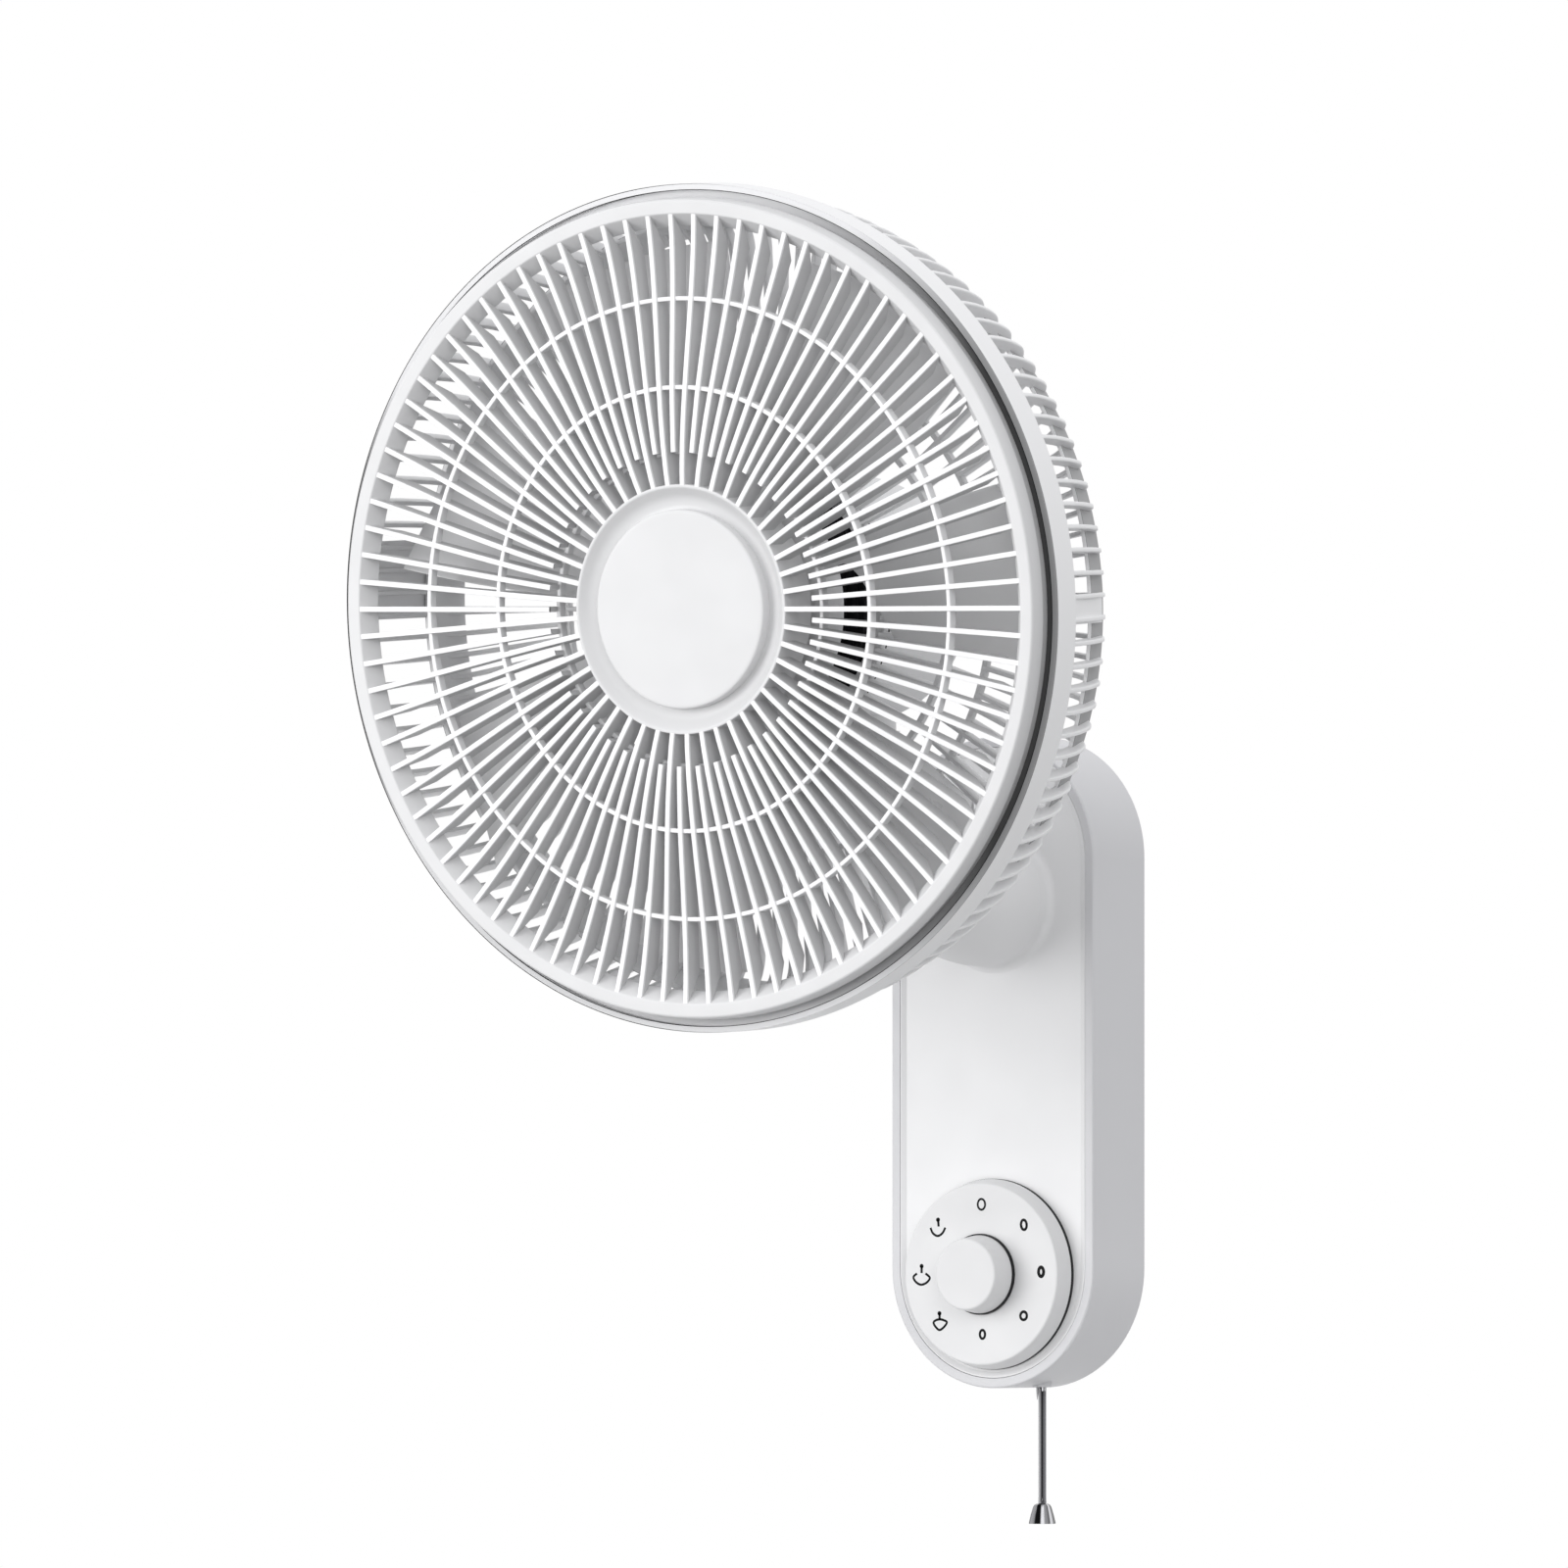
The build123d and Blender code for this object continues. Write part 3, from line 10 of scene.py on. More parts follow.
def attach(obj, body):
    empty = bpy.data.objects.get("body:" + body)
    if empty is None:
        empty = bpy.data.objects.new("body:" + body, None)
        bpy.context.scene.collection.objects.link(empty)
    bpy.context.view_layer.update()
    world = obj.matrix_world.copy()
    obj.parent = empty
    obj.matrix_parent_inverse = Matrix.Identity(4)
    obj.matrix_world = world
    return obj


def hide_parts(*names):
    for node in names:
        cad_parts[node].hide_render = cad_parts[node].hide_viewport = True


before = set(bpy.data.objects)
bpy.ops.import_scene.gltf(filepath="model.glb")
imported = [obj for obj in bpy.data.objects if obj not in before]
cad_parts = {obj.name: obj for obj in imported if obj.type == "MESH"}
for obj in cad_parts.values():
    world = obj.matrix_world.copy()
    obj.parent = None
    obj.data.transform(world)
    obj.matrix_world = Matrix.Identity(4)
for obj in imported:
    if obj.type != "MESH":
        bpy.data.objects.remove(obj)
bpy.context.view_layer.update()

# ---------------------------------------------------------------- camera
view_azimuth = radians(33.23)
view_target = Vector((0.0, -0.1941, 0.1141))      # metres
view_distance = 28.0          # metres; the photograph's view is nearly without perspective
view_clip_end = 100.0
lens = 1578.0                 # millimetres, as is the sensor's width
sensor_width = 36.0

# ---------------------------------------------------------------- dimensions, in millimetres
millimetre = 0.001

# panel
panel_radius = 49.2
panel_end = 84.0              # centres of the round ends, from the middle
panel_front_y = -38.5
panel_rim = 4.0
panel_thickness = 2.4
panel_segments = 48           # in each round end
seam_width = 0.35             # shadow line between the rim and the front panel
panel_recess = 1.0            # the face lies below its border
panel_border = [              # (in from its edge, back from its front): round edge and slope to the face
    (0.0, 0.3), (0.08, 0.1), (0.3, 0.05), (0.55, 0.12), (2.3, panel_recess - 0.1),
    (2.6, panel_recess - 0.02), (3.2, panel_recess)]
collar_z = 67.0               # the moulded collar round the arm's root
collar_radius = 27.5
collar_height = 6.0           # before the panel's front
collar_edge = 0.5             # rounding of its front edge
collar_sweep = 6.0            # and of its foot, which runs out on the face
collar_foot_radius = 36.0
collar_foot_sink = 0.3        # its foot ends under the face
collar_base = 2.0             # behind the panel's front
collar_segments = 128

# dial and knob
dial_z = -86.5
dial_front_y = -47.0
dial_front_radius = 37.2
dial_base_radius = 39.0
dial_neck_radius = 35.0       # behind the shadow gap at its base
dial_gap = 0.6
dial_segments = 180
knob_front_y = -59.0
knob_front_radius = 14.6
knob_base_radius = 16.0
knob_neck_radius = 13.8
knob_gap = 1.3
knob_segments = 144
dial_shadow_ring_radius = 39.05      # black rings, painted shadow: they show as the dark lines under the dial and the knob
knob_shadow_ring_radius = 16.6
shadow_ring_width = 1.6
shadow_ring_gap = 0.05            # between a ring and the part that lies before it
mark_proud = 0.03             # the printed marks, before the dial's face
mark_sink = 0.2               # and into it
mark_end = 0.3                # share of a line's half width by which its ends are longer
oval_sides, dot_sides = 28, 14

# cord and bell
pull_x = 11.7
pull_y = -19.0
cord_top_z = -134.4
cord_bottom_z = -180.4
bell_bottom_z = -188.8
bell_sides = 64
strand_radius = 0.8
strand_sides = 10
strand_lap = 3.0              # the strands' start, above the route's
strand_parting = 0.12         # how far they part over the last stretch
parting_length = 2.0
knot_sides = 12
cord_end_offset = 2.0         # the loose end at the bush, from the cord's middle
cord_end_sides = 8
flute_count = 8
flute_depth = 0.07            # share of the bell's radius
flute_turn = 0.15             # share of one flute

# head, in depths behind the front guard's ring face
tilt_y = -142.0
tilt_z = 100.0
rest_tilt = radians(2.0)
head_z = 189.53
ring_face_y = -261.75
band_radius = 172.8           # the rear guard's band, the widest part
spoke_count = 90
cage_rib_count = 112
cage_first_rib = 1.25         # degrees
blade_count = 7
first_blade = 4.7             # degrees


# ---------------------------------------------------------------- mesh helpers
tip = (Matrix.Translation((0, tilt_y, tilt_z)) @ Matrix.Rotation(rest_tilt, 4, "X")
       @ Matrix.Translation((0, -tilt_y, -tilt_z)))


def on_head(x, depth, z):
    """A point of the level head, depth behind the ring face, tipped to where it rests."""
    return tip @ Vector((x, ring_face_y + depth, head_z + z))


def on_wall(x, y, z):
    return Vector((x, y, z))


def around(angle, radius, depth, side=0.0):
    """A point about the fan's axis; the angle is counter-clockwise from 3 o'clock, in degrees."""
    a = radians(angle)
    return (radius * cos(a) - side * sin(a), depth, radius * sin(a) + side * cos(a))


def joined(*shapes):
    """Several (points, faces) shapes as one."""
    points, faces = [], []
    for more_points, more_faces in shapes:
        start = len(points)
        points += more_points
        faces += [tuple(start + i for i in face) for face in more_faces]
    return points, faces


def rounded(corners, steps=4):
    """A closed outline with its corners rounded; each corner is (a, b) or (a, b, cut)."""
    outline = []
    count = len(corners)
    for i, corner in enumerate(corners):
        here = Vector(corner[:2])
        cut = corner[2] if len(corner) > 2 else 0.0
        if not cut:
            outline.append(tuple(here))
            continue
        before = Vector(corners[i - 1][:2]) - here
        after = Vector(corners[(i + 1) % count][:2]) - here
        start = here + before.normalized() * min(cut, before.length / 2)
        end = here + after.normalized() * min(cut, after.length / 2)
        for k in range(steps + 1):
            t = k / steps
            outline.append(tuple(start * (1 - t) ** 2 + here * 2 * t * (1 - t) + end * t ** 2))
    return outline


def tube_faces(rows, size):
    """Faces of a body made of loops of points, each of the same size, with its two ends."""
    faces = []
    for i in range(rows - 1):
        for k in range(size):
            m = (k + 1) % size
            faces.append((i * size + k, i * size + m, (i + 1) * size + m, (i + 1) * size + k))
    last = (rows - 1) * size
    return [*faces, tuple(range(size)), tuple(last + k for k in reversed(range(size)))]


def turned(outline, segments, centre=(0.0, 0.0)):
    """An outline of (radius, depth) turned about the depth axis through centre."""
    points, faces = [], []
    count = len(outline)
    for i in range(segments):
        a = 2 * pi * i / segments
        points += [(centre[0] + r * cos(a), d, centre[1] + r * sin(a)) for r, d in outline]
    for i in range(segments):
        j = (i + 1) % segments
        for k in range(count):
            m = (k + 1) % count
            if outline[k][0] < 1e-6 and outline[m][0] < 1e-6:
                continue
            faces.append((i * count + k, i * count + m, j * count + m, j * count + k))
    return points, faces


def flat_ring(inner, outer, front, rear, segments, cuts=(0, 0, 0, 0), steps=3):
    """A ring of square section. Cuts round its edges: inner front, outer front, outer rear, inner rear."""
    corners = ((inner, front), (outer, front), (outer, rear), (inner, rear))
    return turned(rounded([(*corner, cut) for corner, cut in zip(corners, cuts)], steps), segments)


def plate(stations, section, angle):
    """A radial plate. Stations are pairs of (radius, depth) points, its front and rear edge; section gives
    pairs of (distance from the front edge, or from the rear edge if negative, and half thickness)."""
    points = []
    for front, rear in stations:
        front, rear = Vector(front), Vector(rear)
        along = (rear - front).normalized()
        loop = []
        for distance, half in section:
            place = front + along * distance if distance >= 0 else rear + along * distance
            loop.append((place, half))
        for place, half in loop:
            points.append(around(angle, place.x, place.y, half))
        for place, half in reversed(loop):
            points.append(around(angle, place.x, place.y, -half))
    return points, tube_faces(len(stations), 2 * len(section))


def make_piece(name, shape, material, body, place=on_wall, sharp=35.0, weld=0.0005):
    """An object from a (points, faces) shape in millimetres, shaded smooth but for its sharp edges."""
    mesh = bpy.data.meshes.new(name)
    points, faces = shape
    mesh.from_pydata([place(*p) * millimetre for p in points], [], faces)
    work = bmesh.new()
    work.from_mesh(mesh)
    bmesh.ops.remove_doubles(work, verts=work.verts, dist=weld * millimetre)
    bmesh.ops.recalc_face_normals(work, faces=work.faces)
    work.to_mesh(mesh)
    work.free()
    mesh.shade_smooth()
    mesh.set_sharp_from_angle(angle=radians(sharp))
    mesh.materials.append(material)
    piece = bpy.data.objects.new(name, mesh)
    bpy.context.scene.collection.objects.link(piece)
    weighted = piece.modifiers.new("flat faces stay flat", "WEIGHTED_NORMAL")
    weighted.keep_sharp = True
    weighted.weight = 80
    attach(piece, body)
    return piece


# ---------------------------------------------------------------- materials
tone_scale, gloss_scale = 14.0, 60.0    # of the slow noises in moulded plastic
gloss_drift = 0.05
grain_height = 0.00004                  # metres, as are the other heights
line_scale, metal_tone_scale = 900.0, 40.0
metal_drift = 0.88                      # darkest share of a metal's colour
metal_gloss_drift = 0.08
line_height = 0.00005


class Finish:
    """A material whose nodes are added step by step."""

    def __init__(self, name, colour, roughness, metallic=0.0, specular=0.5):
        self.material = bpy.data.materials.new(name)
        self.material.use_nodes = True
        self.material.diffuse_color = (*colour, 1.0)
        self.nodes = self.material.node_tree.nodes
        self.links = self.material.node_tree.links
        self.shader = self.nodes["Principled BSDF"]
        self.shader.inputs["Base Color"].default_value = (*colour, 1.0)
        self.shader.inputs["Roughness"].default_value = roughness
        self.shader.inputs["Metallic"].default_value = metallic
        self.shader.inputs["Specular IOR Level"].default_value = specular
        self.place = self.nodes.new("ShaderNodeTexCoord").outputs["Object"]

    def stretched(self, scale):
        """Object coordinates, stretched."""
        mapping = self.nodes.new("ShaderNodeMapping")
        mapping.inputs["Scale"].default_value = scale
        self.links.new(self.place, mapping.inputs["Vector"])
        return mapping.outputs["Vector"]

    def noise(self, scale, detail=3.0, rough=0.55, vector=None):
        noise = self.nodes.new("ShaderNodeTexNoise")
        noise.inputs["Scale"].default_value = scale
        noise.inputs["Detail"].default_value = detail
        noise.inputs["Roughness"].default_value = rough
        self.links.new(vector or self.place, noise.inputs["Vector"])
        return noise.outputs["Fac"]

    def spread(self, value, low, high, start=0.3, end=0.7):
        """A value mapped to a range of numbers."""
        ranges = self.nodes.new("ShaderNodeMapRange")
        ranges.inputs["From Min"].default_value = start
        ranges.inputs["From Max"].default_value = end
        ranges.inputs["To Min"].default_value = low
        ranges.inputs["To Max"].default_value = high
        self.links.new(value, ranges.inputs["Value"])
        return ranges.outputs["Result"]

    def colours(self, value, *stops):
        """Base colour from a ramp of (position, colour)."""
        ramp = self.nodes.new("ShaderNodeValToRGB")
        while len(ramp.color_ramp.elements) < len(stops):
            ramp.color_ramp.elements.new(0.5)
        for element, (position, colour) in zip(ramp.color_ramp.elements, stops):
            element.position = position
            element.color = (*colour, 1.0)
        self.links.new(value, ramp.inputs["Fac"])
        self.links.new(ramp.outputs["Color"], self.shader.inputs["Base Color"])

    def roughness(self, value):
        self.links.new(value, self.shader.inputs["Roughness"])

    def bump(self, height, strength, distance):
        bump = self.nodes.new("ShaderNodeBump")
        bump.inputs["Strength"].default_value = strength
        bump.inputs["Distance"].default_value = distance
        self.links.new(height, bump.inputs["Height"])
        self.links.new(bump.outputs["Normal"], self.shader.inputs["Normal"])


def moulded(name, colour, roughness, grain=2600.0, strength=0.12, drift=0.985, specular=0.5):
    """Moulded plastic: a fine satin grain, slow changes of tone and of gloss."""
    finish = Finish(name, colour, roughness, specular=specular)
    slow = finish.noise(tone_scale, 2.0)
    finish.colours(slow, (0.3, tuple(c * drift for c in colour)), (0.7, colour))
    gloss = finish.noise(gloss_scale, 4.0)
    finish.roughness(finish.spread(gloss, roughness - gloss_drift, roughness + gloss_drift))
    finish.bump(finish.noise(grain, 2.0), strength, grain_height)
    return finish.material


def metal(name, colour, roughness, stretch=(1.0, 1.0, 1.0), strength=0.1):
    """Turned or drawn metal: fine lines and uneven gloss."""
    finish = Finish(name, colour, roughness, metallic=1.0)
    lines = finish.noise(line_scale, 3.0, vector=finish.stretched(stretch))
    slow = finish.noise(metal_tone_scale)
    finish.colours(slow, (0.3, tuple(c * metal_drift for c in colour)), (0.7, colour))
    finish.roughness(finish.spread(lines, roughness - metal_gloss_drift, roughness + metal_gloss_drift))
    finish.bump(lines, strength, line_height)
    return finish.material


white = moulded("white moulded plastic", (0.80, 0.80, 0.805), 0.42)
white_guard = moulded("front guard plastic", (0.68, 0.68, 0.685), 0.42)
# painted shade and painted light on one moulding: the spokes' webs darker, their front edges and the thin
# rings paler
spoke_webs_painted_shade = moulded("guard spoke plastic, painted shade", (0.60, 0.60, 0.605), 0.45)
spoke_edges_painted_light = moulded("guard spoke edges, painted light", (0.86, 0.86, 0.865), 0.4)
white_cage = moulded("rear guard plastic", (0.84, 0.84, 0.845), 0.42)
# painted shade: a dark grey for the hoop's outer skin, which lies in shade inside the cage
hoop_painted_shade = moulded("rear hoop plastic, painted shade", (0.36, 0.36, 0.365), 0.5, specular=0.3)
white_knob = moulded("knob plastic", (0.71, 0.71, 0.715), 0.42)
housing_white = moulded("housing plastic", (0.63, 0.63, 0.645), 0.45)
white_case = moulded("motor case plastic", (0.76, 0.76, 0.765), 0.46)
blade_grey = moulded("blade plastic", (0.78, 0.78, 0.785), 0.32, grain=1800.0, strength=0.05)
black = moulded("black plastic", (0.012, 0.012, 0.014), 0.5, drift=0.7, specular=0.25)
nylon = moulded("natural nylon", (0.72, 0.70, 0.64), 0.5)
rubber = moulded("black rubber", (0.02, 0.02, 0.02), 0.7, drift=0.8)
board_green = moulded("circuit board", (0.03, 0.13, 0.06), 0.35, drift=0.75)
ink = moulded("printed ink", (0.006, 0.006, 0.007), 0.6, drift=0.8, specular=0.1)
zinc = metal("zinc plated steel", (0.56, 0.57, 0.59), 0.36)
steel = metal("turned steel", (0.50, 0.50, 0.52), 0.28, stretch=(1.0, 12.0, 1.0))
lamination = metal("stacked sheets", (0.16, 0.165, 0.175), 0.45, stretch=(1.0, 30.0, 1.0), strength=0.4)
copper = metal("enamelled copper", (0.55, 0.20, 0.08), 0.32, stretch=(1.0, 6.0, 1.0), strength=0.3)
brass = metal("turned brass", (0.60, 0.42, 0.14), 0.3)


def bell_with_painted_reflections():
    """Polished bell metal with painted reflections: light and dark stripes set by the angle about the bell,
    counted from the camera's side, twice over.
    """
    finish = Finish("bell metal, painted reflections", (0.16, 0.16, 0.17), 0.2, metallic=1.0)
    place = finish.nodes.new("ShaderNodeVectorMath")
    place.operation = "SUBTRACT"
    place.inputs[1].default_value = (pull_x * millimetre, pull_y * millimetre, 0.0)
    finish.links.new(finish.place, place.inputs[0])
    axes = finish.nodes.new("ShaderNodeSeparateXYZ")
    finish.links.new(place.outputs["Vector"], axes.inputs["Vector"])
    turn = finish.nodes.new("ShaderNodeMath")
    turn.operation = "ARCTAN2"
    finish.links.new(axes.outputs["Y"], turn.inputs[0])
    finish.links.new(axes.outputs["X"], turn.inputs[1])
    share = finish.nodes.new("ShaderNodeMath")
    share.operation = "MULTIPLY_ADD"
    share.inputs[1].default_value = 1 / pi
    share.inputs[2].default_value = 1.0 - view_azimuth / pi
    finish.links.new(turn.outputs[0], share.inputs[0])
    wrap = finish.nodes.new("ShaderNodeMath")
    wrap.operation = "FRACT"
    finish.links.new(share.outputs[0], wrap.inputs[0])
    # painted reflections: each stop's tone stands in for what the polished bell reflects
    tones = ((0.0, 0.06), (0.12, 0.34), (0.27, 0.24), (0.31, 0.006), (0.44, 0.006), (0.48, 0.8), (0.53, 0.75),
             (0.57, 0.30), (0.66, 0.22), (0.69, 0.04), (0.73, 0.7), (0.78, 0.65), (0.82, 0.10), (1.0, 0.06))
    finish.colours(wrap.outputs[0], *((p, (t, t, t * 1.04)) for p, t in tones))
    finish.roughness(finish.spread(finish.noise(300.0), 0.16, 0.3))
    return finish.material


def cord_with_painted_shade():
    """Grey braid with light and shade painted across it, square to the camera's view: the strand on the left
    paler, painted shadow between the strands, the strand on the right darker.
    """
    finish = Finish("grey cord, painted light and shade", (0.13, 0.13, 0.14), 0.62, specular=0.3)
    across = finish.nodes.new("ShaderNodeVectorMath")
    across.operation = "DOT_PRODUCT"
    across.inputs[1].default_value = (cos(view_azimuth), sin(view_azimuth), 0.0)
    finish.links.new(finish.place, across.inputs[0])
    middle = (pull_x * cos(view_azimuth) + pull_y * sin(view_azimuth)) * millimetre
    reach = 2 * strand_radius * millimetre
    side = finish.spread(across.outputs["Value"], 0.0, 1.0, middle - reach, middle + reach)
    # painted light and shade: pale left strand, painted shadow in the crease, darker right strand
    finish.colours(side, (0.0, (0.50, 0.50, 0.51)), (0.22, (0.30, 0.30, 0.31)), (0.4, (0.05, 0.05, 0.055)),
                   (0.6, (0.05, 0.05, 0.055)), (0.8, (0.17, 0.17, 0.18)), (1.0, (0.30, 0.30, 0.32)))
    finish.bump(finish.noise(line_scale), 0.4, line_height)
    return finish.material


# the bell's finish, with painted reflections
bell_painted_reflections = bell_with_painted_reflections()
# the cord's finish, with light and shade painted across its strands
cord_grey = cord_with_painted_shade()


def painted_shade_across_head(name, *stops):
    """Painted light and shade across the head: a soft finish whose tone changes from the head's left side to
    its right; each stop is (share from its left side, tone).
    """
    finish = Finish(name, (0.4, 0.4, 0.4), 0.7, specular=0.15)
    axes = finish.nodes.new("ShaderNodeSeparateXYZ")
    finish.links.new(finish.place, axes.inputs["Vector"])
    reach = band_radius * millimetre
    share = finish.spread(axes.outputs["X"], 0.0, 1.0, -reach, reach)
    finish.colours(share, *((place, (tone, tone, tone * 1.01)) for place, tone in stops))
    finish.bump(finish.noise(1500.0), 0.15, grain_height)
    return finish.material


slot_finishes = {
    "white_plastic": white,
    "case_plastic": white_case,
    "blade_plastic": blade_grey,
    "black_plastic": black,
    "nylon": nylon,
    "zinc_steel": zinc,
    "steel": steel,
    "lamination": lamination,
    "copper": copper,
    "brass": brass,
    "circuit_board": board_green,
    "black_rubber": rubber,
    "cord_grey": cord_grey,
    "bell_metal": bell_painted_reflections,
}
node_finishes = {"rear_housing": housing_white, "cord_bushing": housing_white}


def finish_nodes():
    """Gives each node of the model the finish of its material slot, or its own where it has one."""
    for name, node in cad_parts.items():
        slot = node.data.materials[0].name.split(".")[0]
        node.data.materials[0] = node_finishes.get(name, slot_finishes[slot])


finish_nodes()


# ---------------------------------------------------------------- cord and bell
def upright(levels, sides, x=pull_x, y=pull_y, shape=None):
    """A body of round sections, (z, radius) from the top down; shape changes the radius by the turn."""
    points = []
    for z, radius in levels:
        for k in range(sides):
            a = 2 * pi * k / sides
            r = radius * (shape(k / sides) if shape else 1.0)
            points.append((x + r * cos(a), y + r * sin(a), z))
    return points, tube_faces(len(levels), sides)


def make_cord():
    """Two strands side by side on one straight route, square to the photographed view."""
    route = [Vector((pull_x, pull_y, cord_top_z)), Vector((pull_x, pull_y, cord_top_z - 14.0)),
             Vector((pull_x, pull_y, cord_bottom_z + 16.0)), Vector((pull_x, pull_y, cord_bottom_z))]
    data = bpy.data.curves.new("cord route", "CURVE")
    data.dimensions = "3D"
    spline = data.splines.new("NURBS")
    spline.points.add(len(route) - 1)
    for point, place in zip(spline.points, route):
        point.co = (*(place * millimetre), 1.0)
    spline.order_u = 3
    spline.use_endpoint_u = True
    spline.resolution_u = 16
    carrier = bpy.data.objects.new("cord route", data)
    bpy.context.scene.collection.objects.link(carrier)
    bpy.context.view_layer.update()
    line = bpy.data.meshes.new_from_object(carrier)
    path = [v.co / millimetre for v in line.vertices]
    bpy.data.objects.remove(carrier)
    across = Vector((cos(view_azimuth), sin(view_azimuth), 0.0))
    forward = Vector((-sin(view_azimuth), cos(view_azimuth), 0.0))
    shapes = []
    for side in (-1, 1):
        points = []
        for place in [path[0] + Vector((0.0, 0.0, strand_lap)), *path]:
            parting = strand_parting * max(0.0, (cord_bottom_z + parting_length - place.z) / parting_length)
            middle = place + across * side * strand_radius * (1.0 + parting)
            for k in range(strand_sides):
                a = 2 * pi * k / strand_sides
                points.append(tuple(middle + (across * cos(a) + forward * sin(a)) * strand_radius))
        shapes.append((points, tube_faces(len(path) + 1, strand_sides)))
    knot = [(cord_bottom_z + 1.1, 0.5), (cord_bottom_z + 0.7, 1.2), (cord_bottom_z, 1.4),
            (cord_bottom_z - 0.6, 1.2)]
    shapes.append(upright(knot, knot_sides))
    loose = [(cord_top_z + 2.0, 0.5), (cord_top_z - 1.0, 0.42), (cord_top_z - 3.6, 0.12)]
    place = Vector((pull_x, pull_y, 0.0)) - across * cord_end_offset
    shapes.append(upright(loose, cord_end_sides, place.x, place.y))
    cord = make_piece("pull_cord_strands", joined(*shapes), cord_grey, "pull")
    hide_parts("pull_cord")
    return cord, [p * millimetre for p in path]


def make_bell():
    """A small pressed metal bell with eight flutes."""
    levels = [(cord_bottom_z, 1.2), (cord_bottom_z - 0.2, 2.5), (cord_bottom_z - 0.7, 3.35),
              (cord_bottom_z - 1.6, 3.85), (cord_bottom_z - 4.6, 4.75), (cord_bottom_z - 7.4, 5.45),
              (bell_bottom_z + 0.3, 5.6), (bell_bottom_z, 5.4)]

    def flutes(turn):
        share = abs((turn * flute_count + flute_turn) % 1.0 - 0.5) * 2
        return 1.0 - flute_depth * (1 - share ** 2)

    cup = upright(levels, bell_sides, shape=flutes)
    bell = make_piece("pull_bell_cup", cup, bell_painted_reflections, "pull", sharp=30.0)
    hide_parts("pull_bell")
    return bell


cord_piece, cord_path = make_cord()
bell_piece = make_bell()


# ---------------------------------------------------------------- front guard
# Outlines here and below are (radius, depth behind the ring face) or (radius, depth, rounding).
ring_outline = [
    (160.8, 0.0, 0.5), (166.5, 0.0, 1.0), (167.4, 7.0, 0.3), (166.0, 7.0), (166.0, 12.6), (170.0, 12.6),
    (170.0, 13.0), (164.0, 13.0), (164.0, 2.0), (161.8, 2.0), (157.2, 7.4), (155.6, 6.6, 0.4)]
hub_outline = [
    (0.0, -2.0), (42.0, -2.0, 0.6), (45.9, -2.9, 2.0), (49.6, -6.1, 0.5), (50.9, -6.1, 0.5), (50.9, 13.0),
    (48.9, 13.0), (48.9, -1.0), (44.9, 0.0), (0.0, 0.0)]
cap_outline = [
    (0.0, -6.8), (24.0, -6.78), (39.0, -6.68, 0.4), (40.6, -6.55, 1.1), (40.6, -2.0), (0.0, -2.0)]

# rings that carry painted shade in the groove and on the band's lip, and painted lines along the lip's edges
groove_shade_ring = (166.1, 170.3, 11.9, 12.55)         # inner and outer radius, front and rear
lip_shade_ring = (170.2, 172.78, 9.06, 9.8)
groove_shadow_line = (170.15, 170.4, 8.98, 9.4)
lip_edge_light_and_shade = (172.5, 172.79, 9.0, 9.3)
rim_segments, hub_segments = 360, 240

thin_rings = ((90.3, -4.2), (126.3, -0.5), (64.0, 0.8))     # radius and front; the last joins short spokes
thin_ring_width, thin_ring_depth = 1.8, 4.0

spoke_start, short_spoke_start = 49.9, 64.0
short_spoke_drop = 0.3        # the short spokes lie a little deeper, up to the first thin ring
spoke_front = [(49.9, -6.1), (90.3, -5.0), (126.3, -1.2), (161.0, 0.15)]
spoke_rear = [(49.9, 4.3), (90.3, 5.4), (148.6, 10.0), (161.0, 1.6)]
spoke_radii = (56.0, 68.0, 79.0, 90.3, 102.0, 114.0, 126.3, 138.0, 146.0, 148.6, 151.0, 155.6, 158.5, 161.0)
spoke_inset = 0.05
web_drop = 0.3                # the web starts inside the strip
strip_depth = 1.1
web_section = [(0.0, 0.95), (0.5, 1.0), (-0.5, 0.94), (-0.14, 0.78), (-0.0001, 0.5)]
strip_section = [(0.0, 0.86), (0.1, 1.02), (0.3, 1.08), (-0.3, 1.08), (-0.0001, 1.03)]


def through(points, x):
    """The cubic through four points, at x."""
    total = 0.0
    for i, (xi, yi) in enumerate(points):
        term = yi
        for j, (xj, _) in enumerate(points):
            if i != j:
                term *= (x - xj) / (xi - xj)
        total += term
    return total


def between(points, x):
    """Straight lines through the points, at x."""
    for (x0, y0), (x1, y1) in zip(points, points[1:]):
        if x <= x1:
            return y0 + (y1 - y0) * (x - x0) / (x1 - x0)
    return points[-1][1]


def spoke(angle, start, drop):
    """A deep flat spoke, darker for painted shade, and the blunt pale strip along its front edge, which is
    painted light.
    """
    web, strip = [], []
    for radius in (start, *spoke_radii):
        if radius < start:
            continue
        front = through(spoke_front, radius) + (drop if radius < thin_rings[0][0] else 0.0) + spoke_inset
        web.append(((radius, front + web_drop), (radius, between(spoke_rear, radius))))
        strip.append(((radius, front), (radius, front + strip_depth)))
    return plate(web, web_section, angle), plate(strip, strip_section, angle)


